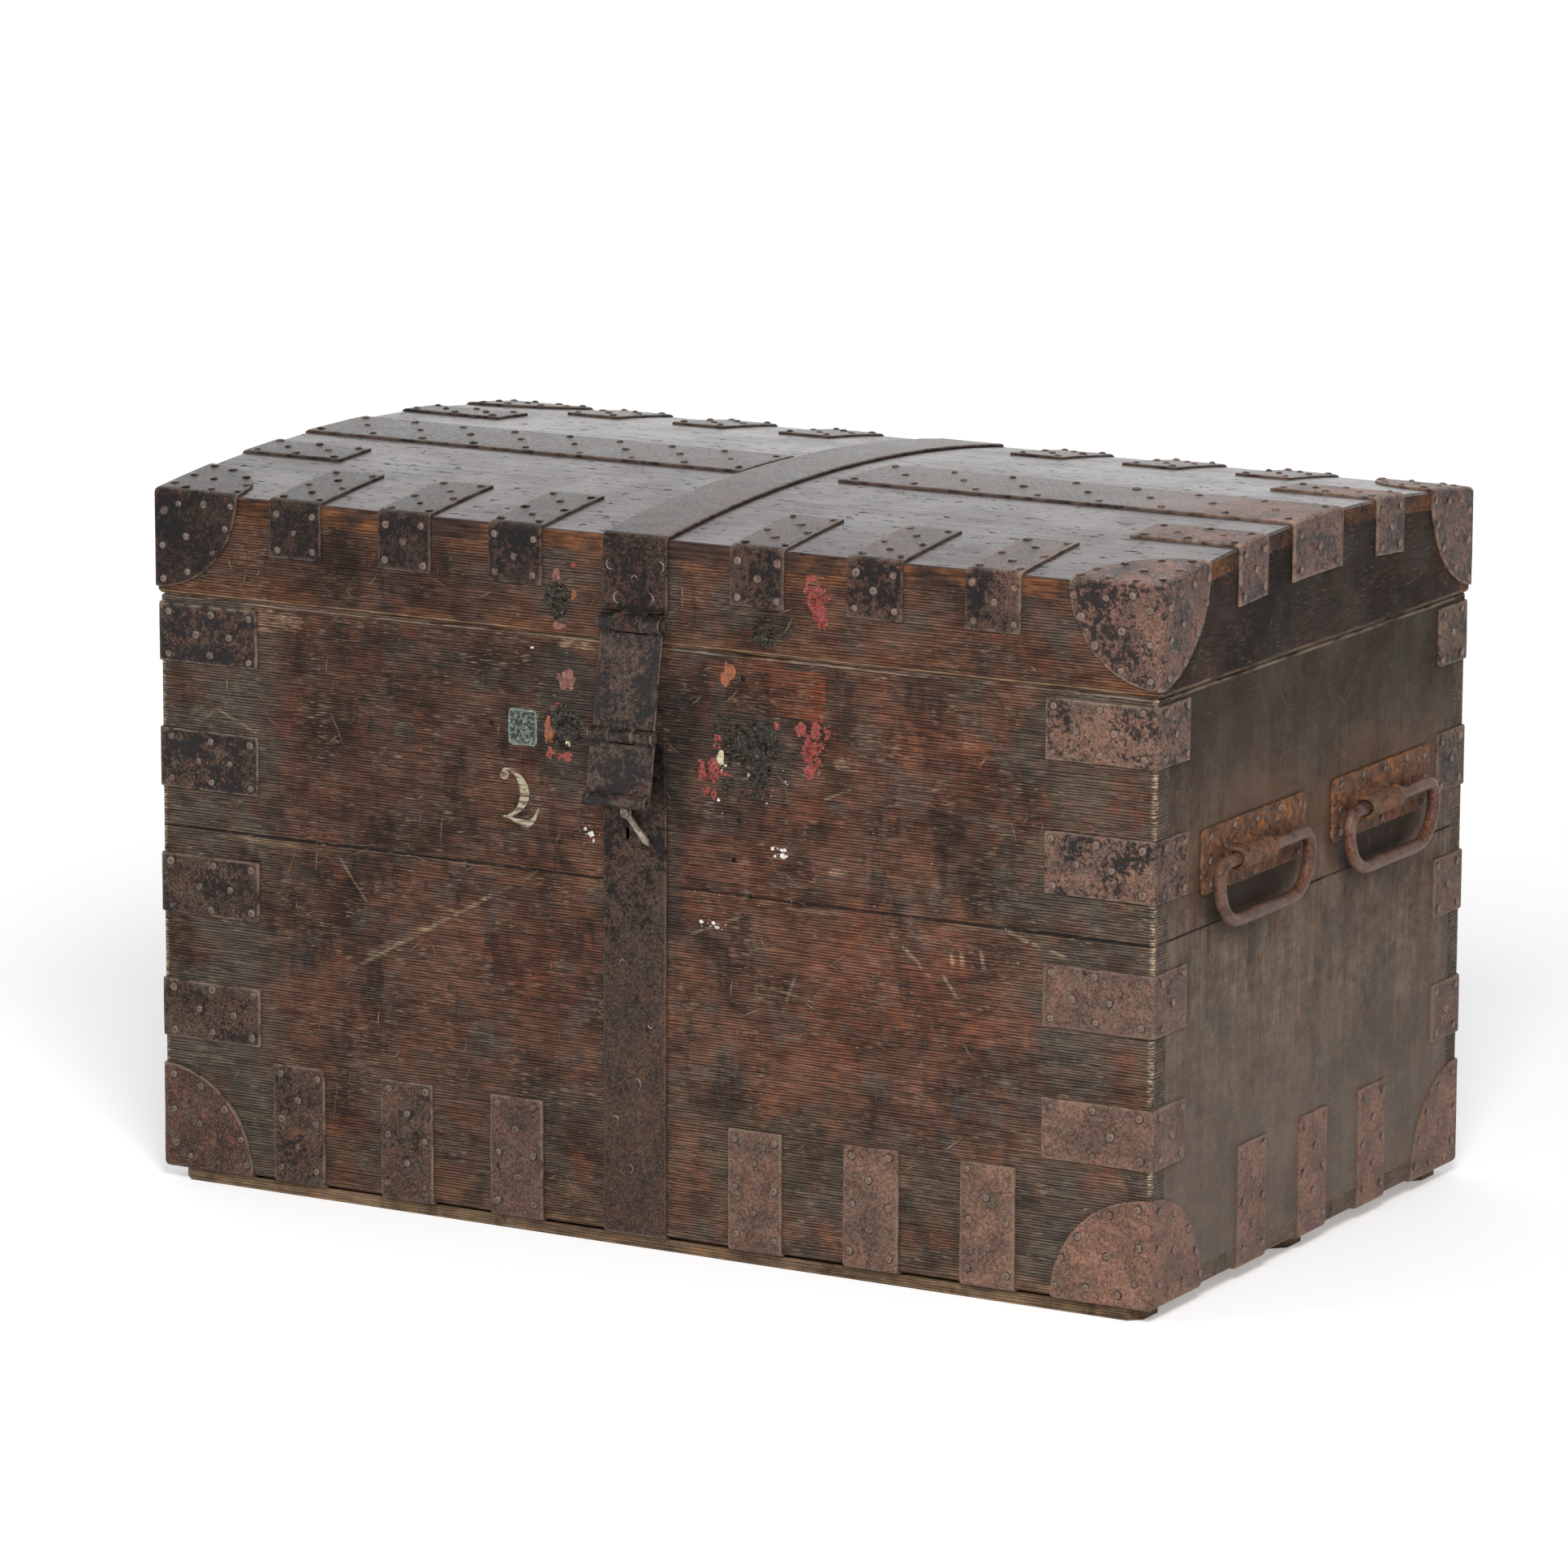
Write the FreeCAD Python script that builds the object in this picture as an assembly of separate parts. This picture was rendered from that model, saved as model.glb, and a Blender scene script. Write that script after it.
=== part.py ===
import FreeCAD, Part
import math
import os

# Iron-bound oak chest with a slightly arched lid, in millimetres.
# X runs along the front, -Y is the front, +Z is up; the origin is on the floor under the middle.

os.makedirs("parts", exist_ok=True)
V = FreeCAD.Vector

# Case boards
case_length = 835.0
case_depth = 510.5
case_height = 438.5
wall = 20.0
bottom_thickness = 15.0
upper_board_width = 176.0
seam_gap = 0.4
edge_round = 2.2
rim_chamfer = 1.8
edge_bevel = 1.8
bottom_board_count = 3

# Lid boards
lid_overhang = 3.0
lid_gap = 0.3
lid_side_height = 77.6
lid_crown = 17.0
lid_rail = 18.0
top_board = 14.0
top_board_count = 4

# Runners under the case
runner_height = 9.0
runner_width = 40.0
runner_inset = 3.5
runner_end_inset = 13.0
runner_corner = 9.0
runner_count = 3

# Iron straps
iron = 2.5
strap_width = 45.0
strap_long_leg = 89.0
strap_short_leg = 45.0
edge_strap_end_leg = 52.0
bottom_strap_leg = 92.0
iron_shift = -4.0
first_strap_offset = 101.5
last_strap_end_distance = 127.5
straps_per_side = 3
end_strap_shift = 4.4
end_strap_pitch = 100.2
edge_strap_drop = 28.0
edge_strap_low = 125.0
edge_straps_per_corner = 4
corner_reach = 81.0
lobe_sides = 24
center_strap_width = 53.0
overrun = 12.0

# Lid iron
lid_corner_reach = 75.0
lid_center_strap_width = 55.0
lid_strap_rim_gap = 5.0
end_strap_front_offset = 114.6
end_strap_back_offset = 110.7
long_strap_width = 80.0
long_strap_shift = -10.5
long_strap_left_gap = 4.0
long_strap_right_gap = 24.0

# Rear hinges
hinge_radius = 6.0
hinge_pin_radius = 3.0
pin_fit = 0.05
knuckle_gap = 0.3
hinge_knuckle = 15.0
hinge_leaf_gap = 2.0
hinge_case_leaf = 84.0
hinge_strap_index = 1

# Hasp
hasp_axis_above_seam = 16.0
hasp_radius = 6.5
hasp_pin_radius = 3.0
hasp_width = 52.0
hasp_middle_knuckle = 23.4
hasp_upper_length = 81.6
hasp_tilt = 9.5
hasp_plate = 2.5
hasp_plate_gap = 0.6
hasp_notch_gap = 0.8
hasp_lower_width = 54.0
hasp_lower_length = 47.0
hasp_second_radius = 5.0
hasp_second_pin_radius = 2.2
hasp_second_middle_knuckle = 20.0
lip_radius = 5.0
staple_drop = 26.4
staple_depth = 17.0
staple_thickness = 4.6
staple_inner_width = 12.0
staple_leg = 4.5
staple_height = 5.0

# Lock behind the middle strap
center_strap_drop = 70.0
slot_side_clearance = 2.5
slot_clearance = 2.2
slot_drop = 1.0
mortise_width = 46.0
mortise_top_cover = 4.0
mortise_height = 79.0
lock_clearance = 0.3
lock_wall = 2.0
lock_flange_margin = 13.0
lock_flange_margin_top = 8.0
lock_guide = 3.0
lock_guide_low = 25.0
lock_guide_spacing = 20.0
bolt_width = 10.0
bolt_depth = 7.0
bolt_inset = 1.5
bolt_below_guide = 10.0
bolt_above_guide = 2.0
bolt_collar = 5.7
bolt_collar_rim = 3.0
bolt_clearance = 0.3
keyhole_height = 10.0
keyhole_width = 3.0
keyhole_shift = -6.0
keyhole_drop = 70.0
cover_pivot_drop = 54.0
cover_length = 30.0
cover_width = 4.6
cover_point = 4.0
cover_head_radius = 4.6
cover_thickness = 2.4
cover_standoff = 0.3
cover_angle = 40.0
cover_rivet_radius = 1.6
cover_rivet_head_radius = 3.2
cover_rivet_head = 1.2

# Drop handles
handle_front_share = -0.5
handle_back_share = 0.53
handle_drop = 131.0
handle_plate_width = 168.0
handle_plate_low = 22.0
handle_plate_high = 26.0
handle_plate_corner = 6.0
handle_axis_standoff = 11.0
barrel_radius = 8.4
barrel_clearance = 0.4
barrel_length = 54.0
barrel_shift = -20.0
barrel_web_low = 3.0
barrel_web_reach = 3.6
bail_radius = 5.0
bail_flats = 12
bail_width = 146.0
bail_drop = 45.0
bail_top_bend = 12.0
bail_bottom_bend = 31.0
bail_bend_runs = 4
pintle_grip = 21.0

# Places worked out from the sizes above
case_bottom = runner_height + iron
case_top = case_bottom + case_height
seam_z = case_top - upper_board_width
lid_bottom = case_top + lid_gap
lid_edge = lid_bottom + lid_side_height
half_length = case_length / 2
half_depth = case_depth / 2
lid_half_length = half_length + lid_overhang
crown_radius = (lid_crown ** 2 + half_depth ** 2) / (2 * lid_crown)
crown_center = lid_edge + lid_crown - crown_radius
iron_front = half_depth + iron
iron_end = half_length + iron
lid_iron_end = lid_half_length + iron
hinge_y = half_depth + hinge_radius + knuckle_gap
hinge_z = case_top + lid_gap / 2
hasp_axis_z = case_top + hasp_axis_above_seam
hasp_axis_y = -half_depth - knuckle_gap - hasp_radius
hasp_back_y = -iron_front - hasp_plate_gap
hasp_front_y = hasp_back_y - hasp_plate
second_axis_z = hasp_axis_z - hasp_upper_length
strap_pitch = (iron_end - last_strap_end_distance - first_strap_offset) / (straps_per_side - 1)
edge_strap_run = case_top - edge_strap_drop - runner_height - edge_strap_low
edge_strap_pitch = edge_strap_run / (edge_straps_per_corner - 1)
center_strap_top = case_top - center_strap_drop
staple_z = second_axis_z - staple_drop
slot_z = staple_z - slot_drop
mortise_top = center_strap_top - mortise_top_cover
mortise_bottom = mortise_top - mortise_height
keyhole_x = iron_shift + keyhole_shift
keyhole_z = center_strap_top - keyhole_drop
cover_pivot_z = center_strap_top - cover_pivot_drop
guide_z = mortise_bottom + lock_guide_low
handle_z = case_top - handle_drop
barrel_bore = bail_radius + barrel_clearance


def box(x0, x1, y0, y1, z0, z1):
    """A block between two opposite corners."""
    return Part.makeBox(x1 - x0, y1 - y0, z1 - z0, V(x0, y0, z0))


def rod_x(x0, x1, y, z, radius):
    """A round bar along X."""
    return Part.makeCylinder(radius, x1 - x0, V(x0, y, z), V(1, 0, 0))


def rod_y(x, y0, y1, z, radius):
    """A round bar along Y."""
    return Part.makeCylinder(radius, y1 - y0, V(x, y0, z), V(0, 1, 0))


def save(name, *solids):
    """Writes one node, made of one solid or of a group of separate ones."""
    found = [piece for shape in solids for piece in shape.Solids]
    shape = found[0] if len(found) == 1 else Part.makeCompound(found)
    shape.exportStep("parts/" + name + ".step")


def is_on_plane(edge, z):
    """Whether an edge lies in the level plane z."""
    level = seam_gap / 2
    return abs(edge.BoundBox.ZMin - z) < level and abs(edge.BoundBox.ZMax - z) < level


def bevel(grow):
    """Size of a bevel that keeps a skin of even thickness when its block is grown."""
    return edge_bevel + (2 - math.sqrt(2)) * grow


def case_block(grow):
    """The case as one block, grown outwards at its sides and bottom: upright edges round, lower bevelled."""
    length = half_length + grow
    depth = half_depth + grow
    bottom = case_bottom - grow
    block = box(-length, length, -depth, depth, bottom, case_top)
    block = block.makeFillet(edge_round + grow, [e for e in block.Edges if e.BoundBox.ZLength > wall])
    block = block.makeChamfer(bevel(grow), [e for e in block.Edges if is_on_plane(e, bottom)])
    if grow == 0:
        block = block.makeChamfer(rim_chamfer, [e for e in block.Edges if is_on_plane(e, case_top)])
    return block


def crown_height(y, grow):
    """How high the arched top stands at a distance y from the middle."""
    return crown_center + math.sqrt((crown_radius + grow) ** 2 - y ** 2)


def lid_profile(grow, depth, low):
    """Section of the lid: upright sides under a shallow arc."""
    side = crown_height(depth, grow)
    crown = crown_height(0, grow)
    lines = [
        Part.makeLine(V(0, depth, side), V(0, depth, low)),
        Part.makeLine(V(0, depth, low), V(0, -depth, low)),
        Part.makeLine(V(0, -depth, low), V(0, -depth, side)),
        Part.Arc(V(0, -depth, side), V(0, 0, crown), V(0, depth, side)).toShape(),
    ]
    return Part.Face(Part.Wire(lines))


def lid_block(grow):
    """The lid as one block, grown outwards at its sides and top: long edges round, ends bevelled."""
    length = lid_half_length + grow
    face = lid_profile(grow, half_depth + grow, lid_bottom)
    face.translate(V(-length, 0, 0))
    block = face.extrude(V(2 * length, 0, 0))
    long_edges = [e for e in block.Edges if e.BoundBox.XLength > length]
    block = block.makeFillet(edge_round + grow, [e for e in long_edges if not is_on_plane(e, lid_bottom)])
    ends = [e for e in block.Edges if e.BoundBox.XLength < iron and not is_on_plane(e, lid_bottom)]
    block = block.makeChamfer(bevel(grow), ends)
    if grow == 0:
        block = block.makeChamfer(rim_chamfer, [e for e in block.Edges if is_on_plane(e, lid_bottom)])
    return block


def below_top_boards():
    """Everything under the lower face of the arched top boards."""
    length = lid_half_length + overrun
    face = lid_profile(-top_board, half_depth + overrun, lid_bottom - overrun)
    face.translate(V(-length, 0, 0))
    return face.extrude(V(2 * length, 0, 0))


case_solid = case_block(0)
case_skin = case_block(iron).cut(case_solid)
lid_solid = lid_block(0)
lid_skin = lid_block(iron).cut(lid_solid)
under_top = below_top_boards()


def mortise():
    """The hole through the front board that holds the lock."""
    half = mortise_width / 2
    return box(iron_shift - half, iron_shift + half, -half_depth - overrun, -half_depth + wall + overrun,
               mortise_bottom, mortise_top)


def make_walls():
    """Front and back run full length, and the ends stand between them; each has two boards."""
    rows = {
        "lower": (case_bottom - overrun, seam_z - seam_gap / 2),
        "upper": (seam_z + seam_gap / 2, case_top + overrun),
    }
    inner = half_depth - wall
    for row, (low, high) in rows.items():
        front = case_solid.common(box(-half_length, half_length, -half_depth, -inner, low, high))
        back = case_solid.common(box(-half_length, half_length, inner, half_depth, low, high))
        if row == "upper":
            front = front.cut(mortise())
        save("case_front_" + row + "_board", front)
        save("case_back_" + row + "_board", back)
        low_end = max(low, case_bottom + bottom_thickness)
        for side, name in ((-1, "left"), (1, "right")):
            x0, x1 = sorted((side * half_length, side * (half_length - wall)))
            save("case_" + name + "_" + row + "_board",
                 case_solid.common(box(x0, x1, -inner, inner, low_end, high)))


def make_bottom():
    """Boards that close the case from below and show their ends under the end walls."""
    inner = half_depth - wall
    width = 2 * inner / bottom_board_count
    boards = []
    for i in range(bottom_board_count):
        low = -inner + i * width + (seam_gap / 2 if i else 0)
        high = -inner + (i + 1) * width - (seam_gap / 2 if i < bottom_board_count - 1 else 0)
        cut = box(-half_length, half_length, low, high, case_bottom, case_bottom + bottom_thickness)
        boards.append(case_solid.common(cut))
    save("bottom_boards", *boards)


def make_runners():
    """Long battens with cut corners that carry the case."""
    length = iron_end - runner_end_inset
    first = -half_depth + runner_inset
    pitch = (2 * (half_depth - runner_inset) - runner_width) / (runner_count - 1)
    runners = []
    for i in range(runner_count):
        y = first + i * pitch
        runner = box(-length, length, y, y + runner_width, 0, runner_height)
        upright = [e for e in runner.Edges if e.BoundBox.ZLength > runner_height / 2]
        runners.append(runner.makeChamfer(runner_corner, upright))
    save("bottom_runners", *runners)


def strap_places():
    """Middle lines along X of the straps at each side of the middle one."""
    places = [first_strap_offset + i * strap_pitch for i in range(straps_per_side)]
    return [iron_shift - x for x in reversed(places)] + [iron_shift + x for x in places]


def band_x(x, width, y0, y1, z0, z1):
    """A cutting block of the given width about a middle line along X."""
    return box(x - width / 2, x + width / 2, y0, y1, z0, z1)


def front_and_back(side, reach):
    """Y limits of a band that goes in from the front (-1) or the back (1) by a reach."""
    return sorted((side * (iron_front + overrun), side * (iron_front - reach)))


def end_limits(side, outer, reach):
    """X limits of a band that goes in from the left (-1) or the right (1) by a reach."""
    return sorted((side * (outer + overrun), side * (outer - reach)))


def make_case_straps():
    """Angle straps that wrap the lower edges of the case."""
    top = runner_height + bottom_strap_leg
    for side, name in ((-1, "front"), (1, "back")):
        y0, y1 = front_and_back(side, strap_short_leg)
        straps = [case_skin.common(band_x(x, strap_width, y0, y1, 0, top)) for x in strap_places()]
        save("case_" + name + "_bottom_straps", *straps)
    for side, name in ((-1, "left"), (1, "right")):
        x0, x1 = end_limits(side, iron_end, strap_short_leg)
        straps = []
        for i in (-1, 0, 1):
            y = end_strap_shift + i * end_strap_pitch
            straps.append(case_skin.common(box(x0, x1, y - strap_width / 2, y + strap_width / 2, 0, top)))
        save("case_" + name + "_bottom_straps", *straps)


def lobe(corner, reach, axis, start, depth):
    """A disc cut with straight snips, square to an axis, that begins outside the corner."""
    step = 2 * math.pi / lobe_sides
    first = {"x": V(0, 1, 0), "y": V(0, 0, 1), "z": V(1, 0, 0)}[axis]
    second = {"x": V(0, 0, 1), "y": V(1, 0, 0), "z": V(0, 1, 0)}[axis]
    base = corner + start
    rim = []
    for i in range(lobe_sides + 1):
        rim.append(base + first * (reach * math.cos(i * step)) + second * (reach * math.sin(i * step)))
    return Part.Face(Part.makePolygon(rim)).extrude(depth)


def three_lobes(corner, reach, inward):
    """Cutting shape of a corner bracket: a lobe on each of the three faces that meet there."""
    depth = overrun + iron + edge_round
    x = lobe(corner, reach, "x", V(-inward.x * overrun, 0, 0), V(inward.x * depth, 0, 0))
    y = lobe(corner, reach, "y", V(0, -inward.y * overrun, 0), V(0, inward.y * depth, 0))
    z = lobe(corner, reach, "z", V(0, 0, -inward.z * overrun), V(0, 0, inward.z * depth))
    return x.fuse([y, z])


def make_case_corners():
    """Straps round the upright edges, and a three-lobed bracket at each lower corner."""
    for side_y, name_y in ((-1, "front"), (1, "back")):
        for side_x, name_x in ((-1, "left"), (1, "right")):
            x0, x1 = end_limits(side_x, iron_end, strap_long_leg)
            y0, y1 = front_and_back(side_y, edge_strap_end_leg)
            straps = []
            for i in range(edge_straps_per_corner):
                z = case_top - edge_strap_drop - i * edge_strap_pitch
                straps.append(case_skin.common(box(x0, x1, y0, y1, z - strap_width / 2, z + strap_width / 2)))
            save("case_" + name_y + "_" + name_x + "_edge_straps", *straps)
            corner = V(side_x * iron_end, side_y * iron_front, runner_height)
            lobes = three_lobes(corner, corner_reach, V(-side_x, -side_y, 1))
            save("case_" + name_y + "_" + name_x + "_corner", case_skin.common(lobes).removeSplitter())


def keyhole():
    """A narrow slot with round ends, through the middle strap."""
    low = keyhole_z - (keyhole_height - keyhole_width) / 2
    high = keyhole_z + (keyhole_height - keyhole_width) / 2
    front = -iron_front - overrun
    slot = band_x(keyhole_x, keyhole_width, front, -half_depth, low, high)
    for z in (low, high):
        slot = slot.fuse(rod_y(keyhole_x, front, -half_depth, z, keyhole_width / 2))
    return slot


def make_center_straps():
    """Middle straps of the case; the front one is the face of the lock."""
    y0, y1 = front_and_back(-1, strap_short_leg)
    front = case_skin.common(band_x(iron_shift, center_strap_width, y0, y1, 0, center_strap_top))
    slot_width = staple_inner_width + 2 * (staple_leg + slot_side_clearance)
    rise = staple_height / 2 + slot_clearance
    slot = band_x(iron_shift, slot_width, -iron_front - overrun, -half_depth, slot_z - rise, slot_z + rise)
    save("case_front_center_strap", front.cut(slot).cut(keyhole()))
    y0, y1 = front_and_back(1, strap_short_leg)
    high = case_top - rim_chamfer - lid_strap_rim_gap
    save("case_back_center_strap", case_skin.common(band_x(iron_shift, center_strap_width, y0, y1, 0, high)))


def make_lid_boards():
    """Two long rails, two arched ends between them, and the arched top boards."""
    inner = half_depth - lid_rail
    body = lid_solid.common(under_top)
    high = lid_edge + lid_crown + overrun
    reach = lid_half_length
    save("lid_front_rail", body.common(box(-reach, reach, -half_depth, -inner, lid_bottom, high)))
    save("lid_back_rail", body.common(box(-reach, reach, inner, half_depth, lid_bottom, high)))
    for side, name in ((-1, "left"), (1, "right")):
        x0, x1 = sorted((side * reach, side * (reach - lid_rail)))
        save("lid_" + name + "_end", body.common(box(x0, x1, -inner, inner, lid_bottom, high)))
    top = lid_solid.cut(under_top)
    width = case_depth / top_board_count
    boards = []
    for i in range(top_board_count):
        low = -half_depth + i * width + (seam_gap / 2 if i else 0)
        step = -half_depth + (i + 1) * width - (seam_gap / 2 if i < top_board_count - 1 else 0)
        boards.append(top.common(box(-reach, reach, low, step, lid_bottom, high)))
    save("lid_top_boards", *boards)


def make_lid_straps():
    """Angle straps over the four upper edges of the lid, and the long ones along its crown."""
    high = lid_edge + lid_crown + overrun
    edge = crown_height(iron_front, iron)
    for side, name in ((-1, "front"), (1, "back")):
        y0, y1 = front_and_back(side, strap_long_leg)
        low = edge - strap_short_leg
        straps = [lid_skin.common(band_x(x, strap_width, y0, y1, low, high)) for x in strap_places()]
        save("lid_" + name + "_straps", *straps)
    for side, name in ((-1, "left"), (1, "right")):
        x0, x1 = end_limits(side, lid_iron_end, strap_long_leg)
        straps = []
        for y in (-end_strap_front_offset, end_strap_back_offset):
            low = crown_height(y, iron) - strap_short_leg
            straps.append(lid_skin.common(box(x0, x1, y - strap_width / 2, y + strap_width / 2, low, high)))
        save("lid_" + name + "_end_straps", *straps)
        gap = long_strap_left_gap if side < 0 else long_strap_right_gap
        stop = iron_shift + side * (lid_center_strap_width / 2 + gap)
        x0, x1 = sorted((side * (lid_iron_end + overrun), stop))
        low = crown_height(long_strap_shift, iron) - strap_short_leg
        half = long_strap_width / 2
        save("lid_" + name + "_long_strap",
             lid_skin.common(box(x0, x1, long_strap_shift - half, long_strap_shift + half, low, high)))
    for side_y, name_y in ((-1, "front"), (1, "back")):
        for side_x, name_x in ((-1, "left"), (1, "right")):
            corner = V(side_x * lid_iron_end, side_y * iron_front, edge)
            lobes = three_lobes(corner, lid_corner_reach, V(-side_x, -side_y, -1))
            save("lid_" + name_y + "_" + name_x + "_corner", lid_skin.common(lobes).removeSplitter())


def hasp_rod(width, z, radius):
    """A round bar about one of the hasp's two axes, in its middle."""
    return rod_x(iron_shift - width / 2, iron_shift + width / 2, hasp_axis_y, z, radius)


def hasp_sides(inner, width):
    """X limits of the two outer parts of a hasp leaf."""
    half = width / 2
    return ((iron_shift - half, iron_shift - inner), (iron_shift + inner, iron_shift + half))


def make_lid_center_strap():
    """Strap over the whole lid, with the middle knuckle of the hasp rolled from its front end."""
    high = lid_edge + lid_crown + overrun
    above_knuckles = hasp_axis_z + hasp_radius + hasp_notch_gap
    reach = iron_front + overrun
    strap = lid_skin.common(band_x(iron_shift, lid_center_strap_width, -reach, 0, above_knuckles, high))
    low = lid_bottom + rim_chamfer + lid_strap_rim_gap
    back = lid_skin.common(band_x(iron_shift, lid_center_strap_width, 0, reach, low, high))
    neck = band_x(iron_shift, hasp_middle_knuckle, -iron_front, -half_depth, hasp_axis_z, above_knuckles)
    roll = hasp_rod(hasp_middle_knuckle, hasp_axis_z, hasp_radius)
    bore = hasp_rod(hasp_middle_knuckle, hasp_axis_z, hasp_pin_radius + pin_fit)
    strap = strap.fuse(back).fuse(neck).fuse(roll).cut(bore)
    save("lid_center_strap", strap.removeSplitter())
    save("hasp_pin", hasp_rod(hasp_width, hasp_axis_z, hasp_pin_radius))


def hasp_place(shape):
    """Swings a hasp piece from its closed place out to where it hangs."""
    shape.rotate(V(0, hasp_axis_y, hasp_axis_z), V(-1, 0, 0), hasp_tilt)
    return shape


def make_hasp_upper():
    """Leaf that hangs from the lid: two knuckles above, one in the middle below."""
    inner = hasp_middle_knuckle / 2 + knuckle_gap
    top = hasp_axis_z - hasp_radius - hasp_notch_gap
    low = second_axis_z + hasp_second_radius + hasp_notch_gap
    leaf = band_x(iron_shift, hasp_width, hasp_front_y, hasp_back_y, low, top)
    for x0, x1 in hasp_sides(inner, hasp_width):
        leaf = leaf.fuse(rod_x(x0, x1, hasp_axis_y, hasp_axis_z, hasp_radius))
        leaf = leaf.fuse(box(x0, x1, hasp_front_y, hasp_back_y, top, hasp_axis_z))
    leaf = leaf.cut(hasp_rod(hasp_width, hasp_axis_z, hasp_pin_radius + pin_fit))
    middle = hasp_second_middle_knuckle
    leaf = leaf.fuse(hasp_rod(middle, second_axis_z, hasp_second_radius))
    leaf = leaf.fuse(band_x(iron_shift, middle, hasp_front_y, hasp_back_y, second_axis_z, low))
    leaf = leaf.cut(hasp_rod(middle, second_axis_z, hasp_second_pin_radius + pin_fit))
    save("hasp_upper_leaf", hasp_place(leaf.removeSplitter()))
    save("hasp_lower_pin", hasp_place(hasp_rod(hasp_lower_width, second_axis_z, hasp_second_pin_radius)))


def make_hasp_lower():
    """Leaf with a rolled lip to lift it by, and the staple that the bolt passes through."""
    inner = hasp_second_middle_knuckle / 2 + knuckle_gap
    top = second_axis_z - hasp_second_radius - hasp_notch_gap
    low = second_axis_z - hasp_lower_length
    leaf = band_x(iron_shift, hasp_lower_width, hasp_front_y, hasp_back_y, low, top)
    for x0, x1 in hasp_sides(inner, hasp_lower_width):
        leaf = leaf.fuse(rod_x(x0, x1, hasp_axis_y, second_axis_z, hasp_second_radius))
        leaf = leaf.fuse(box(x0, x1, hasp_front_y, hasp_back_y, top, second_axis_z))
    leaf = leaf.cut(hasp_rod(hasp_lower_width, second_axis_z, hasp_second_pin_radius + pin_fit))
    half = hasp_lower_width / 2
    lip_y = hasp_back_y - lip_radius
    lip = rod_x(iron_shift - half, iron_shift + half, lip_y, low, lip_radius)
    lip = lip.cut(rod_x(iron_shift - half, iron_shift + half, lip_y, low, lip_radius - hasp_plate))
    leaf = leaf.fuse(lip)
    outer = staple_inner_width + 2 * staple_leg
    staple = band_x(iron_shift, outer, hasp_back_y, hasp_back_y + staple_depth,
                    staple_z - staple_height / 2, staple_z + staple_height / 2)
    loop = band_x(iron_shift, staple_inner_width, hasp_back_y, hasp_back_y + staple_depth - staple_thickness,
                  staple_z - staple_height, staple_z + staple_height)
    leaf = leaf.fuse(staple.cut(loop))
    save("hasp_lower_leaf", hasp_place(leaf.removeSplitter()))


def make_rear_hinges():
    """Two strap hinges on the back: lid leaf in the middle, case leaf with the outer knuckles."""
    places = [iron_shift + side * (first_strap_offset + hinge_strap_index * strap_pitch) for side in (-1, 1)]
    half = strap_width / 2
    middle = hinge_knuckle / 2
    inner = middle + knuckle_gap
    lid_leaves = []
    case_leaves = []
    pins = []
    for x in places:
        bore = rod_x(x - half, x + half, hinge_y, hinge_z, hinge_pin_radius + pin_fit)
        start = hinge_z + hinge_radius + hinge_leaf_gap
        top = crown_height(iron_front, iron) - strap_short_leg - seam_gap
        leaf = box(x - half, x + half, half_depth, iron_front, start, top)
        leaf = leaf.fuse(box(x - middle, x + middle, half_depth, iron_front, hinge_z, start))
        leaf = leaf.fuse(rod_x(x - middle, x + middle, hinge_y, hinge_z, hinge_radius))
        lid_leaves.append(leaf.cut(bore).removeSplitter())
        start = hinge_z - hinge_radius - hinge_leaf_gap
        leaf = box(x - half, x + half, half_depth, iron_front, start - hinge_case_leaf, start)
        for x0, x1 in ((x - half, x - inner), (x + inner, x + half)):
            leaf = leaf.fuse(box(x0, x1, half_depth, iron_front, start, hinge_z))
            leaf = leaf.fuse(rod_x(x0, x1, hinge_y, hinge_z, hinge_radius))
        case_leaves.append(leaf.cut(bore).removeSplitter())
        pins.append(rod_x(x - half, x + half, hinge_y, hinge_z, hinge_pin_radius))
    save("hinge_lid_leaves", *lid_leaves)
    save("hinge_case_leaves", *case_leaves)
    save("hinge_pins", *pins)


def make_lock():
    """Lock box in the mortise, closed in front by the middle strap, with an upright sliding bolt."""
    half = mortise_width / 2 - lock_clearance
    low = mortise_bottom + lock_clearance
    high = mortise_top - lock_clearance
    front = -half_depth
    back = front + wall
    shell = band_x(iron_shift, 2 * half, front, back, low, high)
    flange = box(iron_shift - half - lock_flange_margin, iron_shift + half + lock_flange_margin, back,
                 back + lock_wall, low - lock_flange_margin_top, high + lock_flange_margin_top)
    hollow = band_x(iron_shift, 2 * (half - lock_wall), front, back, low + lock_wall, high - lock_wall)
    case = shell.cut(hollow).fuse(flange)
    for z in (guide_z, guide_z + lock_guide + lock_guide_spacing):
        case = case.fuse(band_x(iron_shift, 2 * half, front, back, z, z + lock_guide))
    window = bolt_width / 2 + bolt_clearance
    way = box(iron_shift - window, iron_shift + window, front + bolt_inset - bolt_clearance,
              front + bolt_inset + bolt_depth + bolt_clearance, low + lock_wall, high - lock_wall)
    save("lock_case", case.cut(way).removeSplitter())
    top = guide_z + 2 * lock_guide + lock_guide_spacing + bolt_above_guide
    y0 = front + bolt_inset
    bolt = band_x(iron_shift, bolt_width, y0, y0 + bolt_depth, guide_z - bolt_below_guide, top)
    collar_low = guide_z + lock_guide + bolt_clearance
    collar = band_x(iron_shift, bolt_width + 2 * bolt_collar_rim, y0, y0 + bolt_depth + bolt_collar_rim,
                    collar_low, collar_low + bolt_collar)
    save("lock_bolt", bolt.fuse(collar).removeSplitter())


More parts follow.
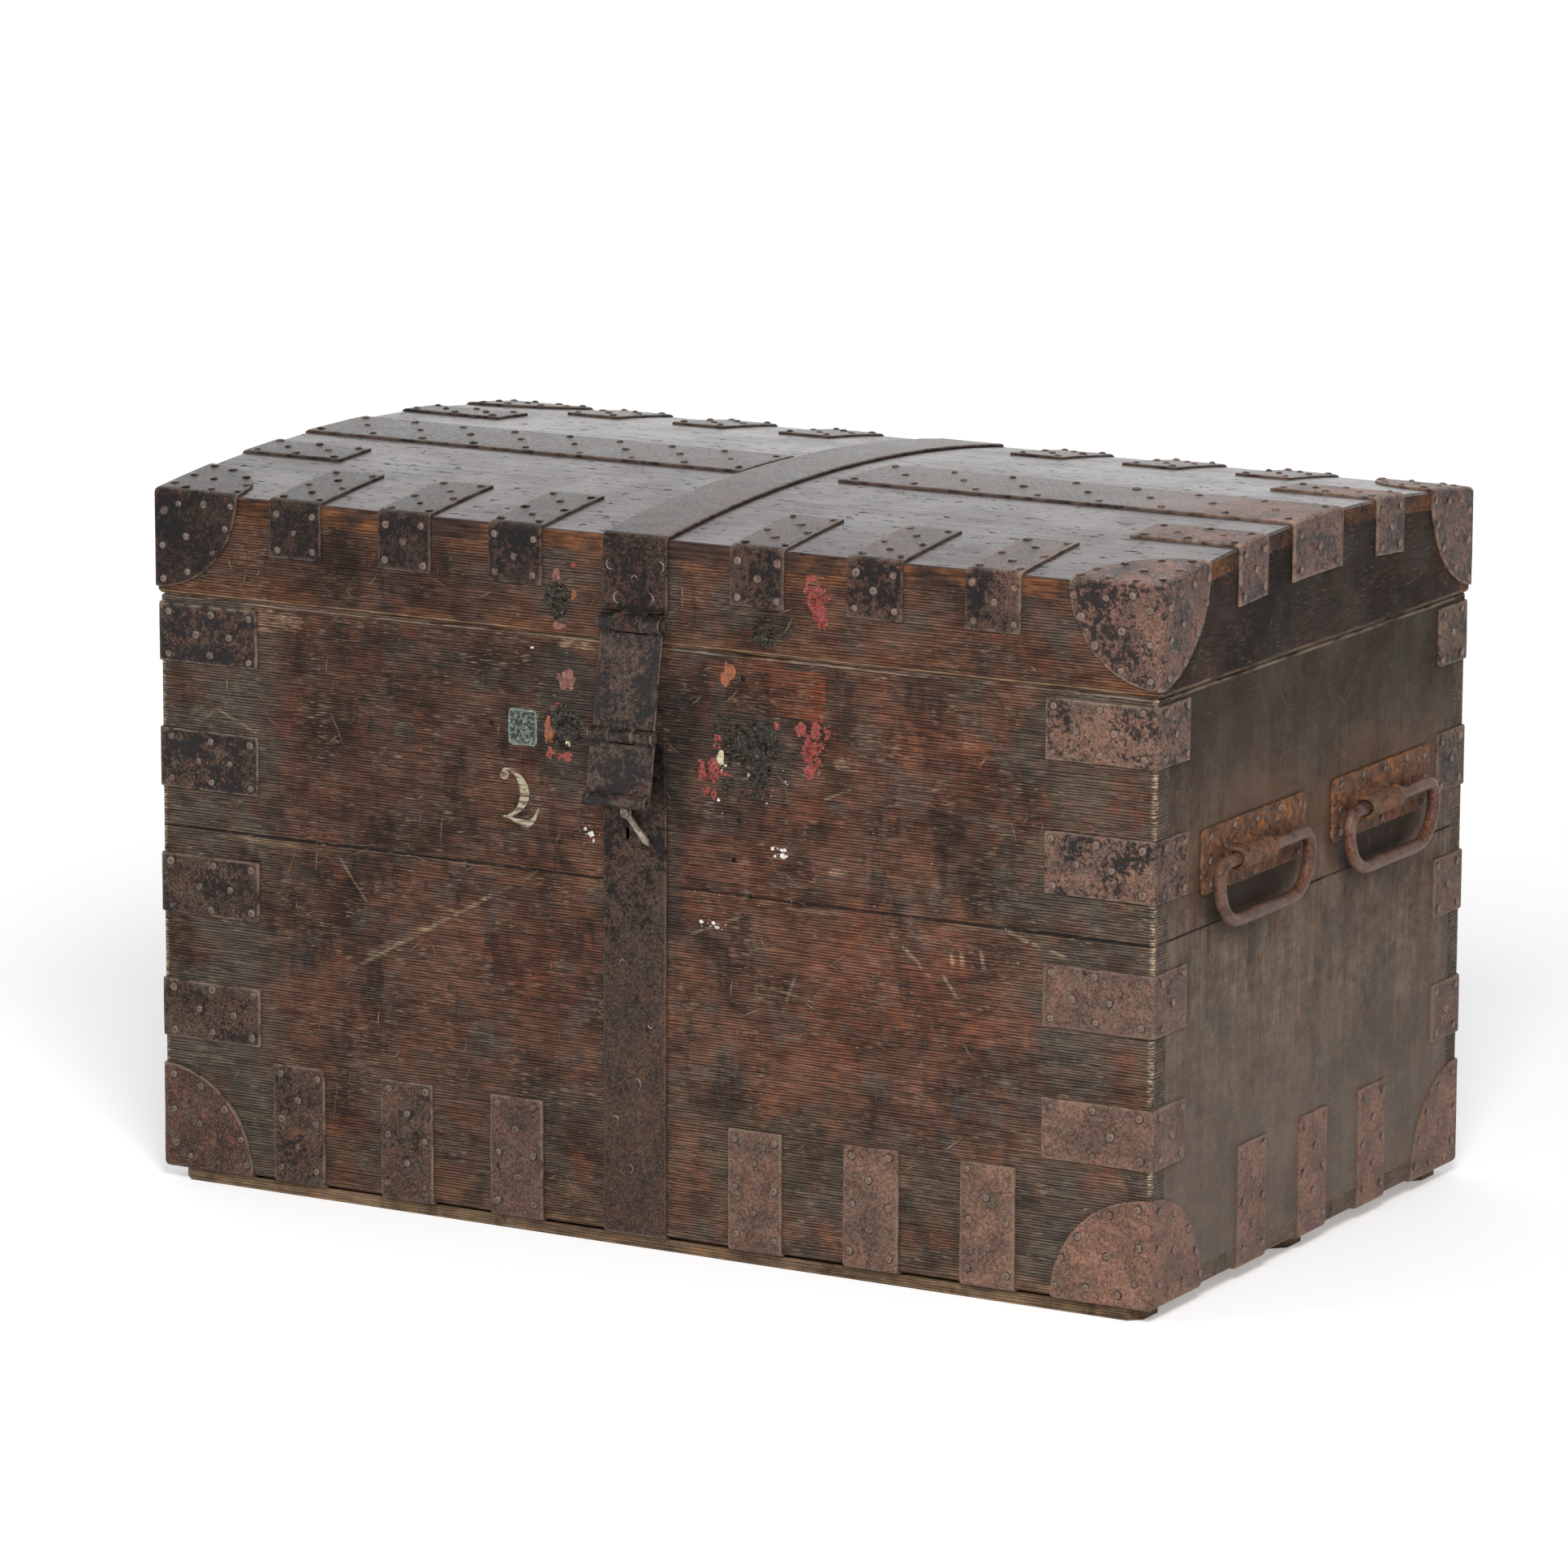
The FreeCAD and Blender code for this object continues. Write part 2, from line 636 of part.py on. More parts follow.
def make_keyhole_cover():
    """Narrow drop cover on a rivet above the keyhole, swung to one side."""
    back = -iron_front - cover_standoff
    front = back - cover_thickness
    pivot = V(keyhole_x, front, cover_pivot_z)
    tip_z = cover_pivot_z - cover_length
    half = cover_width / 2
    rim = [V(keyhole_x - half, front, cover_pivot_z), V(keyhole_x - half, front, tip_z + cover_point),
           V(keyhole_x, front, tip_z), V(keyhole_x + half, front, tip_z + cover_point),
           V(keyhole_x + half, front, cover_pivot_z), V(keyhole_x - half, front, cover_pivot_z)]
    cover = Part.Face(Part.makePolygon(rim)).extrude(V(0, cover_thickness, 0))
    cover = cover.fuse(rod_y(keyhole_x, front, back, cover_pivot_z, cover_head_radius))
    cover = cover.cut(rod_y(keyhole_x, front, back, cover_pivot_z, cover_rivet_radius + pin_fit))
    cover = cover.removeSplitter()
    cover.rotate(pivot, V(0, -1, 0), cover_angle)
    save("keyhole_cover", cover)
    head_back = front - cover_standoff
    head_front = head_back - cover_rivet_head
    rivet = rod_y(keyhole_x, head_front, -iron_front, cover_pivot_z, cover_rivet_radius)
    rivet = rivet.fuse(rod_y(keyhole_x, head_front, head_back, cover_pivot_z, cover_rivet_head_radius))
    save("keyhole_cover_rivet", rivet)


def handle_plate(y):
    """Back plate on the right end, with a tongue rolled out of it to hold the bail."""
    half = handle_plate_width / 2
    low = handle_z - handle_plate_low
    high = handle_z + handle_plate_high
    plate = box(half_length, iron_end, y - half, y + half, low, high)
    corners = [e for e in plate.Edges if e.BoundBox.XLength > iron / 2]
    plate = plate.makeFillet(handle_plate_corner, corners)
    axis_x = half_length + handle_axis_standoff
    y0 = y + barrel_shift - barrel_length / 2
    roll = rod_y(axis_x, y0, y0 + barrel_length, handle_z, barrel_radius)
    web = box(iron_end, iron_end + barrel_web_reach, y0, y0 + barrel_length,
              handle_z + barrel_web_low, handle_z + barrel_radius)
    bore = rod_y(axis_x, y0, y0 + barrel_length, handle_z, barrel_bore)
    return plate.fuse(roll).fuse(web).cut(bore).removeSplitter()


def bend(y, z, radius, start):
    """Points of a quarter bend hammered in short straight runs that touch its arc."""
    step = math.pi / 2 / bail_bend_runs
    reach = radius / math.cos(step / 2)
    turns = [start + (i + 0.5) * step for i in range(bail_bend_runs)]
    return [(y + reach * math.cos(turn), z + reach * math.sin(turn)) for turn in turns]


def bail(y):
    """Forged bar bent into a D, its two ends turned in along the roll of the plate."""
    x = half_length + handle_axis_standoff
    low = handle_z - bail_drop
    y0 = y - bail_width / 2
    y1 = y + bail_width / 2
    roll_y0 = y + barrel_shift - barrel_length / 2
    start = roll_y0 + pintle_grip
    quarter = math.pi / 2
    a = bail_top_bend
    b = bail_bottom_bend
    route = [(start, handle_z)]
    route += bend(y0 + a, handle_z - a, a, quarter)
    route += bend(y0 + b, low + b, b, 2 * quarter)
    route += bend(y1 - b, low + b, b, -quarter)
    route += bend(y1 - a, handle_z - a, a, 0)
    route.append((roll_y0 + barrel_length - pintle_grip, handle_z))
    path = Part.makePolygon([V(x, py, pz) for py, pz in route])
    turn = 2 * math.pi / bail_flats
    rim = []
    for i in range(bail_flats + 1):
        angle = (i + 0.5) * turn
        rim.append(V(x + bail_radius * math.cos(angle), start, handle_z + bail_radius * math.sin(angle)))
    mitred = 1
    return path.makePipeShell([Part.makePolygon(rim)], True, False, mitred)


def make_handles():
    """Two drop handles on each end, the left ones mirrored from the right."""
    reach = iron_front - edge_strap_end_leg
    for share, name in ((handle_front_share, "front"), (handle_back_share, "back")):
        y = share * reach
        for side in ("right", "left"):
            plate = handle_plate(y)
            ring = bail(y)
            if side == "left":
                plate = plate.mirror(V(0, 0, 0), V(1, 0, 0))
                ring = ring.mirror(V(0, 0, 0), V(1, 0, 0))
            save("handle_plate_" + side + "_" + name, plate)
            save("bail_" + side + "_" + name, ring)


make_walls()
make_bottom()
make_runners()
make_case_straps()
make_case_corners()
make_center_straps()
make_lid_boards()
make_lid_straps()
make_lid_center_strap()
make_hasp_upper()
make_hasp_lower()
make_rear_hinges()
make_lock()
make_keyhole_cover()
make_handles()
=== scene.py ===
import bpy
import collections
import functools
import math
import random
from mathutils.bvhtree import BVHTree
from mathutils import Matrix, Vector, noise


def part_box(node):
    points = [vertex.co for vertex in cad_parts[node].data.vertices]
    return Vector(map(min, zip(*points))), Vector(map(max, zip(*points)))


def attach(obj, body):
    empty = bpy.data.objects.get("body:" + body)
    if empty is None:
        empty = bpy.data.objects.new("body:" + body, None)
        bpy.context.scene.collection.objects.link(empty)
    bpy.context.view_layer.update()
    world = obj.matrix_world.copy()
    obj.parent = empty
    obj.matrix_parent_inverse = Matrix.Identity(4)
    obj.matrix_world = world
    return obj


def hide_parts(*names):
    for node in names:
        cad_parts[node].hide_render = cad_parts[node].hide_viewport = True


# Iron-bound oak chest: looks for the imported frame. Metres; X along the front, -Y the front, Z up.

# Without a seed, noise_vector follows the clock
noise.seed_set(1)

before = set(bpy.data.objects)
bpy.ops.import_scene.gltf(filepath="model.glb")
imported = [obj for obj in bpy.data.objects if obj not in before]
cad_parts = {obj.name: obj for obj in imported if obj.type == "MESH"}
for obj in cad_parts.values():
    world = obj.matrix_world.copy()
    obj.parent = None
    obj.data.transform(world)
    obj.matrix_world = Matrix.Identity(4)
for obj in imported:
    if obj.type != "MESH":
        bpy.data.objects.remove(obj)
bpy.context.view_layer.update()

mm = 0.001
X, Y, Z = Vector((1, 0, 0)), Vector((0, 1, 0)), Vector((0, 0, 1))

# Sizes read from the frame
case_low, case_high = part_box("case_front_lower_board")
lid_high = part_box("lid_top_boards")[1]
half_length = case_high[0]
half_depth = -case_low[1]
case_bottom = case_low[2]
seam_z = case_high[2]
case_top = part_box("case_front_upper_board")[1][2]
lid_half_length = lid_high[0]
lid_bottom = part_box("lid_front_rail")[0][2]
iron = -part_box("case_front_bottom_straps")[0][1] - half_depth

# Sizes that the frame's boxes don't give
edge_round = 2.2 * mm
lid_side_height = 77.6 * mm
lid_edge = lid_bottom + lid_side_height
lid_crown = lid_high[2] - lid_edge
crown_radius = (lid_crown ** 2 + half_depth ** 2) / (2 * lid_crown)
board_thickness = 20 * mm
mesh_step = 5 * mm
bend_step = 1.2 * mm
bend_reach = 6 * mm
rim_step = 0.8 * mm
rim_drop = 0.5 * mm
plate = 2.1 * mm
sunk = 0.1 * mm
edge_wave = 0.45 * mm
edge_wave_length = 17 * mm
hammer_wave = 0.22 * mm
hammer_wave_length = 26 * mm
rib_pitch = 2.1 * mm
wood_relief = 0.7 * mm
iron_relief = 0.4 * mm
# Close turns in degrees, from both straight edges of a bracket's lobe, and close rings round its corner
lobe_turns = [0.0, 0.9, 1.8, 2.9, 4.3]
lobe_rings = [1.5 * mm, 4.2 * mm, 6 * mm]
nail_aside = 16 * mm
nail_radius = 2.9 * mm
nail_height = 1.5 * mm
nail_scatter = 1.3 * mm
nail_sides = 10
# Rings of a nail's head, from its foot up: share of the radius, share of the height, how much it is the crown
nail_rings = ((1.28, -0.18, 0.0), (1.2, 0.06, 0.0), (1.0, 0.12, 0.15), (0.93, 0.5, 0.6), (0.68, 0.84, 0.85),
              (0.34, 0.98, 1.0))

# Names of sides, with their signs on Y and X, and of the case's corners
FRONT_BACK = ((-1, "front"), (1, "back"))
LEFT_RIGHT = ((-1, "left"), (1, "right"))
CORNERS = [(x, y, name_y + "_" + name_x) for y, name_y in FRONT_BACK for x, name_x in LEFT_RIGHT]

# Studio: the sky's brightness in front of and behind the chest, between two cosines of the angle to its back
sky_front = 0.30
sky_behind = 1.35
sky_start = 0.25
sky_end = 0.95
# The floor's glow near the chest and far away, between two distances
floor_near = 0.31
floor_far = 0.66
glow_start = 0.5
glow_end = 3.0
floor_half = 40.0
WHITE = (1.0, 1.0, 1.0, 1.0)
# Lights: name, place, size and power
LIGHTS = (("key", (1.6, -2.4, 2.4), 1.0, 92), ("fill", (-1.9, -2.4, 1.4), 1.2, 26))

# Label on the front: middle and half size
label_place = (-100.3 * mm, 379 * mm)
label_half = (12.5 * mm, 14 * mm)

# Camera
camera_azimuth = 29.63
camera_elevation = 11.33
camera_roll = 0.25
camera_distance = 5.793
camera_lens = 176.4
camera_sensor = 36.0
camera_reach = 200
aim_height = 0.2697
aim_right = -0.0226
aim_up = 0.0328


def arch(y):
    """How far the arched top stands above the lid's front edge, at a distance y from the middle."""
    return math.sqrt(crown_radius ** 2 - y ** 2) - (crown_radius - lid_crown)


def clamp(value, low, high):
    return max(low, min(high, value))


def block_skin(point, lift, half_x, lowest, highest):
    """Place and normal on a block's rounded outer face, at a height above the wood."""
    core = Vector((clamp(point.x, edge_round - half_x, half_x - edge_round),
                   clamp(point.y, edge_round - half_depth, half_depth - edge_round),
                   clamp(point.z, lowest, highest)))
    normal = (point - core).normalized()
    return core + normal * (edge_round + lift), normal


def case_skin(point, lift):
    """The case's outer face, open at the top."""
    return block_skin(point, lift, half_length, case_bottom + edge_round, math.inf)


def lid_skin(point, lift):
    """The lid's arched outer face, open below."""
    place, normal = block_skin(point, lift, lid_half_length, -math.inf, lid_edge - edge_round)
    place.z += arch(place.y)
    return place, normal


# Node materials


class Paint:
    """One procedural material. Coordinates are the object's own, in metres."""

    def __init__(self, name, roughness=0.7, specular=0.5):
        self.material = bpy.data.materials.new(name)
        self.material.use_nodes = True
        self.tree = self.material.node_tree
        self.shader = self.tree.nodes["Principled BSDF"]
        self.shader.inputs["Roughness"].default_value = roughness
        self.shader.inputs["Metallic"].default_value = 0.0
        self.shader.inputs["Specular IOR Level"].default_value = specular
        coordinates = self.tree.nodes.new("ShaderNodeTexCoord")
        self.place = coordinates.outputs["Object"]
        self.sideways, _, self.level = self.add("ShaderNodeSeparateXYZ", [coordinates.outputs["Normal"]]).outputs
        self.x, self.y, self.z = self.add("ShaderNodeSeparateXYZ", [self.place]).outputs
        self.fields = 0

    def add(self, kind, inputs=(), **settings):
        node = self.tree.nodes.new(kind)
        for name, value in settings.items():
            setattr(node, name, value)
        for socket, value in zip(node.inputs, inputs):
            self.feed(socket, value)
        return node

    def feed(self, socket, value):
        if value is None:
            return
        if isinstance(value, bpy.types.NodeSocket):
            self.tree.links.new(value, socket)
        elif isinstance(value, tuple) and len(value) == 3 and socket.type == "RGBA":
            socket.default_value = (*value, 1.0)
        else:
            socket.default_value = value

    def math(self, operation, a, b=None):
        return self.add("ShaderNodeMath", [a, b], operation=operation).outputs[0]

    def plus(self, *values):
        return functools.reduce(lambda a, b: self.math("ADD", a, b), values)

    def times(self, *values):
        return functools.reduce(lambda a, b: self.math("MULTIPLY", a, b), values)

    def minus(self, a, b):
        return self.math("SUBTRACT", a, b)

    def absolute(self, value):
        return self.math("ABSOLUTE", value)

    def gap(self, value, middle):
        """Distance of a value from a middle one."""
        return self.absolute(self.minus(value, middle))

    def field(self, x, y=None, z=None, detail=3.0, rough=0.6, bend=0.0):
        """Noise with lumps of these sizes in millimetres along X, Y and Z. Each call gets a field of its own."""
        self.fields += 1
        mapping = self.add("ShaderNodeMapping", [self.place])
        mapping.inputs["Scale"].default_value = [1 / (size * mm) for size in (x, y or x, z or x)]
        mapping.inputs["Location"].default_value = (7.3 * self.fields, 3.1 * self.fields, 5.7 * self.fields)
        node = self.add("ShaderNodeTexNoise", noise_dimensions="3D")
        self.feed(node.inputs["Vector"], mapping.outputs[0])
        node.inputs["Scale"].default_value = 1.0
        node.inputs["Detail"].default_value = detail
        node.inputs["Roughness"].default_value = rough
        node.inputs["Distortion"].default_value = bend
        return node.outputs["Fac"]

    def ribbing(self, pitch, across):
        """Nearly parallel ribs of this pitch across an axis, wavering along the others."""
        run = 20.0
        mapping = self.add("ShaderNodeMapping", [self.place])
        sizes = [pitch if axis == across else run * pitch for axis in "XYZ"]
        mapping.inputs["Scale"].default_value = [1 / size for size in sizes]
        node = self.add("ShaderNodeTexWave", wave_type="BANDS", bands_direction=across)
        self.feed(node.inputs["Vector"], mapping.outputs[0])
        node.inputs["Scale"].default_value = 2 * math.pi / 20
        node.inputs["Distortion"].default_value = 5.0
        node.inputs["Detail"].default_value = 3.0
        return node.outputs["Fac"]

    def band(self, value, low, high, bottom=0.0, top=1.0):
        """Rises smoothly from bottom to top as the value goes from low to high."""
        node = self.add("ShaderNodeMapRange", interpolation_type="SMOOTHSTEP")
        for name, item in zip(("Value", "From Min", "From Max", "To Min", "To Max"),
                              (value, low, high, bottom, top)):
            self.feed(node.inputs[name], item)
        return node.outputs["Result"]

    def rise(self, value, low, high, bottom=0.0, top=1.0):
        """A band between two distances in millimetres."""
        return self.band(value, low * mm, high * mm, bottom, top)

    def mix(self, factor, a, b, blend="MIX"):
        node = self.add("ShaderNodeMix", data_type="RGBA", blend_type=blend)
        self.feed(node.inputs["Factor"], factor)
        colours = [s for s in node.inputs if s.type == "RGBA"]
        self.feed(colours[0], a)
        self.feed(colours[1], b)
        return [s for s in node.outputs if s.type == "RGBA"][0]

    def shade(self, colour, factor):
        """Lightens or darkens a colour by a factor."""
        return self.mix(1.0, colour, factor, "MULTIPLY")

    def vary(self, colour, value, low, high, dark, light):
        """Shades a colour from one factor to another as a value goes from low to high."""
        return self.shade(colour, self.band(value, low, high, dark, light))

    def lay(self, colour, tint, strength, value, low, high):
        """Lays a tint over a colour where a value goes from low to high."""
        return self.mix(self.times(self.band(value, low, high), strength), colour, tint)

    def without(self, value):
        """What is left of one without a value."""
        return self.minus(1.0, value)

    def spot(self, across, u, z, reach_u, reach_z, ragged=0.0, soft=0.5):
        """One inside an ellipse on a wall, none outside, with a ragged rim. Places and sizes in millimetres."""
        du = self.math("DIVIDE", self.minus(across, u * mm), reach_u * mm)
        dz = self.math("DIVIDE", self.minus(self.z, z * mm), reach_z * mm)
        square = self.plus(self.times(du, du), self.times(dz, dz))
        if ragged:
            rough = self.minus(self.field(0.4 * max(reach_u, reach_z), detail=4.0, rough=0.65), 0.5)
            square = self.plus(square, self.times(rough, ragged))
        return self.band(square, 1.0 - soft, 1.0 + soft, 1.0, 0.0)

    def scratch(self, x0, z0, x1, z1, width, wobble):
        """One along a line on the front, none beside it, broken by noise. Places and sizes in millimetres."""
        length = math.hypot(x1 - x0, z1 - z0)
        cosine = (x1 - x0) / length
        sine = (z1 - z0) / length
        dx = self.minus(self.x, x0 * mm)
        dz = self.minus(self.z, z0 * mm)
        along_it = self.plus(self.times(dx, cosine), self.times(dz, sine))
        aside = self.minus(self.times(dz, cosine), self.times(dx, sine))
        aside = self.plus(aside, self.times(self.minus(self.field(18), 0.5), 2 * wobble * mm))
        start = self.rise(along_it, 0.0, 0.1 * length)
        end = self.rise(along_it, 0.8 * length, length, 1.0, 0.0)
        broken = self.band(self.field(7, detail=4.0), 0.36, 0.56)
        return self.times(self.rise(self.absolute(aside), 0.0, width, 1.0, 0.0), start, end, broken)

    def upright(self):
        """One on walls, none on level faces."""
        return self.band(self.absolute(self.level), 0.4, 0.85, 1.0, 0.0)

    def bump(self, height, depth):
        node = self.add("ShaderNodeBump")
        self.feed(node.inputs["Strength"], 1.0)
        self.feed(node.inputs["Distance"], depth)
        self.feed(node.inputs["Height"], height)
        return node.outputs["Normal"]

    def polish(self, amount, marks, roughness):
        """A rubbed, waxed sheen on level faces, missing in the marks."""
        weight = self.minus(amount, self.times(self.upright(), amount))
        self.feed(self.shader.inputs["Coat Weight"], self.times(weight, self.without(marks)))
        self.shader.inputs["Coat Roughness"].default_value = roughness

    def finish(self, colour, roughness=None, normal=None):
        self.feed(self.shader.inputs["Base Color"], colour)
        self.feed(self.shader.inputs["Roughness"], roughness)
        self.feed(self.shader.inputs["Normal"], normal)
        return self.material


DUST = (0.21, 0.155, 0.105)
# Near-black soot, also used as the painted shade round the nails' feet.
SOOT_AND_SHADE = (0.010, 0.008, 0.007)
PALE_WOOD = (0.20, 0.148, 0.098)
BLACK_PAINT = (0.009, 0.009, 0.010)


def oak(name, tints, grain_on_x, ribs=1.0, dashes=0.6, marks=None, top=False):
    """Old oak: ribbed grain, pores filled with pale dust and smoke-dark blotches.

    The tints are the dark, the middle, the warm and the cold one.
    """
    dark, middle, warm, cold = tints
    p = Paint(name, specular=0.1)

    def grain(length, width, *noise_settings):
        sizes = (length, width, width) if grain_on_x else (width, length, width)
        return p.field(*sizes, *noise_settings)

    colour = p.mix(p.band(grain(90, 60, 5.0, 0.65), 0.38, 0.62), dark, middle)
    colour = p.lay(colour, warm, 0.6, grain(34, 34, 5.0, 0.7), 0.5, 0.66)
    colour = p.lay(colour, cold, 0.65, grain(40, 40, 5.0, 0.7), 0.5, 0.64)
    smear = p.field(26, 26, 60, 5.0, 0.7)
    colour = p.lay(colour, SOOT_AND_SHADE, 0.45 + 0.15 * ribs, smear, 0.52, 0.66)
    if marks:
        colour = marks(p, colour)
    clump = grain(16, 9, 5.0, 0.75)
    colour = p.vary(colour, clump, 0.3, 0.7, 1.0 - 0.2 * ribs, 1.0 + 0.22 * ribs)
    colour = p.vary(colour, grain(16, 3.0, 3.0, 0.7), 0.35, 0.65, 1.0 - 0.2 * ribs, 1.0 + 0.2 * ribs)
    noisy = grain(24, 1.6, 2.0, 0.55, 0.12)
    regular = p.ribbing(rib_pitch, "Y" if top else "Z" if grain_on_x else "X")
    rib = p.plus(p.times(noisy, 0.76), p.times(regular, 0.34))
    colour = p.vary(colour, rib, 0.38, 0.72, 1.0 - 0.5 * ribs, 1.0 + 0.72 * ribs)
    pore = grain(11, 1.2, 2.0, 0.6)
    where = p.band(grain(34, 26, 4.0, 0.65), 0.4, 0.62)
    colour = p.lay(colour, DUST, p.times(where, dashes), pore, 0.56, 0.66)
    height = p.plus(p.times(rib, 0.8 * ribs), p.times(clump, 0.6 * ribs),
                    p.times(p.band(pore, 0.6, 0.7), -0.25 * ribs))
    normal = p.bump(height, wood_relief)
    gloss = p.band(p.field(40), 0.3, 0.7, 0.54, 0.72)
    if top:
        line = p.band(p.field(70, 1.5, 1.5, 3.0, 0.6, 0.1), 0.42, 0.6, 0.0, 0.25)
        dent = p.band(p.field(12, 3.6, 3.6, 2.0), 0.63, 0.67)
        dent = p.times(dent, p.band(p.level, 0.0, 0.3))
        blotch = p.band(p.field(70, detail=5.0, rough=0.65), 0.4, 0.62, 0.0, 0.2)
        colour = p.mix(dent, colour, SOOT_AND_SHADE)
        p.polish(1.0, p.math("MAXIMUM", dent, p.plus(line, blotch)), 0.28)
    return p.finish(colour, gloss, normal)


def forged_iron(name, rust, deep, paint=0.0, edge=(0.20, 0.145, 0.11), roughness=0.5, shade_and_paint_by_place=True, crown=None,
                sheen=0.0, specular=0.12, shade_above=None):
    """Forged iron: pitted brown rust with light and orange specks, and what is left of black paint.

    With the placed shading on, the paint lasted best towards the top and the left, and the rust is darker towards
    the left and lighter low down, partly its own tone and partly painted light. A level, when given, darkens the
    iron above it as the hasp's painted shadow. Round the nails, where crown names their attribute, the iron is dark
    at their feet as painted shade.
    """
    p = Paint(name, specular=specular)
    colour = p.mix(p.band(p.field(24, detail=5.0, rough=0.65), 0.36, 0.64), deep, rust)
    if shade_and_paint_by_place:
        # Darker towards the left and lighter low down: partly the rust's own tone, partly painted light.
        rightward = p.rise(p.x, -440, 400, 0.42, 1.3)
        downward = p.rise(p.z, 70, 200, 1.15, 1.0)
        colour = p.shade(colour, p.times(rightward, downward))
    orange = p.field(9, detail=5.0, rough=0.75)
    colour = p.lay(colour, scaled(rust, 1.4, 1.05, 0.8), 0.45, orange, 0.53, 0.66)
    olive = p.field(13, detail=4.0)
    colour = p.lay(colour, scaled(rust, 0.62, 0.95, 1.0), 0.4, olive, 0.52, 0.64)
    mottle = p.field(2.3, detail=4.0, rough=0.75)
    colour = p.vary(colour, mottle, 0.33, 0.67, 0.52, 1.48)
    speck = p.field(1.2, detail=1.0, rough=0.5)
    light = (rust[0] * 1.8 + 0.03, rust[1] * 2.0 + 0.03, rust[2] * 2.0 + 0.02)
    colour = p.lay(colour, light, 0.55, speck, 0.58, 0.68)
    colour = p.lay(colour, scaled(deep, 0.3, 0.3, 0.3), 0.6, speck, 0.42, 0.32)
    gloss = p.band(mottle, 0.2, 0.8, roughness - 0.12, roughness + 0.12)
    height = p.plus(p.times(mottle, 0.9), p.times(speck, 0.4))
    if paint:
        flake = p.plus(p.field(5, detail=6.0, rough=0.8), p.times(p.field(28, detail=3.0), 0.5))
        amount = paint
        if shade_and_paint_by_place:
            bare_low = p.rise(p.z, 110, 350, 1.0, 0.12)
            bare_right = p.rise(p.x, -420, 300, 0.3, 1.0)
            amount = p.times(p.without(p.times(bare_low, bare_right)), paint)
        level = p.minus(0.98, p.times(amount, 0.25))
        cover = p.band(flake, level, p.plus(level, 0.04))
        colour = p.mix(p.times(cover, 0.9), colour, BLACK_PAINT)
        height = p.plus(height, p.times(cover, 0.35))
        gloss = p.minus(gloss, p.times(cover, 0.1))
    rubbed = p.band(p.field(11), 0.34, 0.58)
    bent = p.add("ShaderNodeNewGeometry").outputs["Pointiness"]
    colour = p.lay(colour, edge, p.times(rubbed, 0.7), bent, 0.515, 0.56)
    # Darker above the given level: the hasp's painted shadow on the middle strap.
    if shade_above:
        colour = p.vary(colour, p.z, shade_above - 14 * mm, shade_above + 8 * mm, 1.0, 0.4)
    if crown:
        # A dark ring round each nail's foot is painted shade; the paler crown is wear.
        high = p.add("ShaderNodeAttribute", attribute_name=crown).outputs["Fac"]
        colour = p.lay(colour, SOOT_AND_SHADE, 0.85, high, 0.5, 0.0)
        colour = p.lay(colour, edge, 0.12, high, 0.8, 1.0)
    if sheen:
        # Upright faces darker and the right end lighter: painted shade and painted light. The coat below is a waxed
        # sheen.
        right = p.rise(p.x, 240, 430, 1.0, 2.2)
        colour = p.shade(colour, p.times(p.without(p.times(p.upright(), 0.42)), right))
        dull = p.math("MAXIMUM", p.band(mottle, 0.5, 0.66, 0.0, 0.8), p.rise(p.x, 300, 380, 0.0, 0.95))
        p.polish(sheen, dull, 0.34)
    return p.finish(colour, gloss, p.bump(height, iron_relief))


def scaled(colour, red, green, blue):
    return colour[0] * red, colour[1] * green, colour[2] * blue


def rim_wear(p, colour, z, reach, tint, strength):
    """A pale worn line along a level edge, and the dark joint outside it."""
    far = p.gap(p.z, z)
    near = p.band(far, reach, 1.7 * reach, 1.0, 0.0)
    broken = p.band(p.field(40, 40, 6, 4.0, 0.7), 0.36, 0.56)
    colour = p.mix(p.times(near, broken, strength), colour, tint)
    return p.lay(colour, SOOT_AND_SHADE, p.times(p.upright(), 0.95), far, 1.5 * mm, 0.8 * mm)


def seam_line(p, colour):
    """The dark joint between the two boards of a wall."""
    colour = p.lay(colour, SOOT_AND_SHADE, 0.9, p.gap(p.z, seam_z), 1.6 * mm, 0.4 * mm)
    below = p.rise(p.gap(p.z, seam_z - 4 * mm), 1, 4, 1.0, 0.0)
    return p.lay(colour, (0.15, 0.10, 0.062), p.times(below, 0.5), p.field(60, 60, 8), 0.45, 0.65)


def upright_wear(p, colour):
    """Pale bruises along the upright edges of the case."""
    far_x = p.rise(p.minus(half_length, p.absolute(p.x)), 0.8, 5, 1.0, 0.0)
    far_y = p.rise(p.minus(half_depth, p.absolute(p.y)), 0.8, 5, 1.0, 0.0)
    broken = p.field(6, 6, 2.2, 5.0, 0.75)
    return p.lay(colour, (0.30, 0.22, 0.15), p.times(far_x, far_y, 0.8), broken, 0.44, 0.58)


def dry_oak(p, y, z):
    """Colour of bare oak, with grain of these sizes in millimetres along Y and Z."""
    pale = p.mix(p.field(60, y * 3, z * 5, 4.0), (0.15, 0.092, 0.052), (0.27, 0.18, 0.11))
    pale = p.vary(pale, p.field(80, y, z), 0.35, 0.65, 0.75, 1.2)
    return p.lay(pale, (0.075, 0.048, 0.030), 0.6, p.field(90, detail=5.0), 0.5, 0.7)


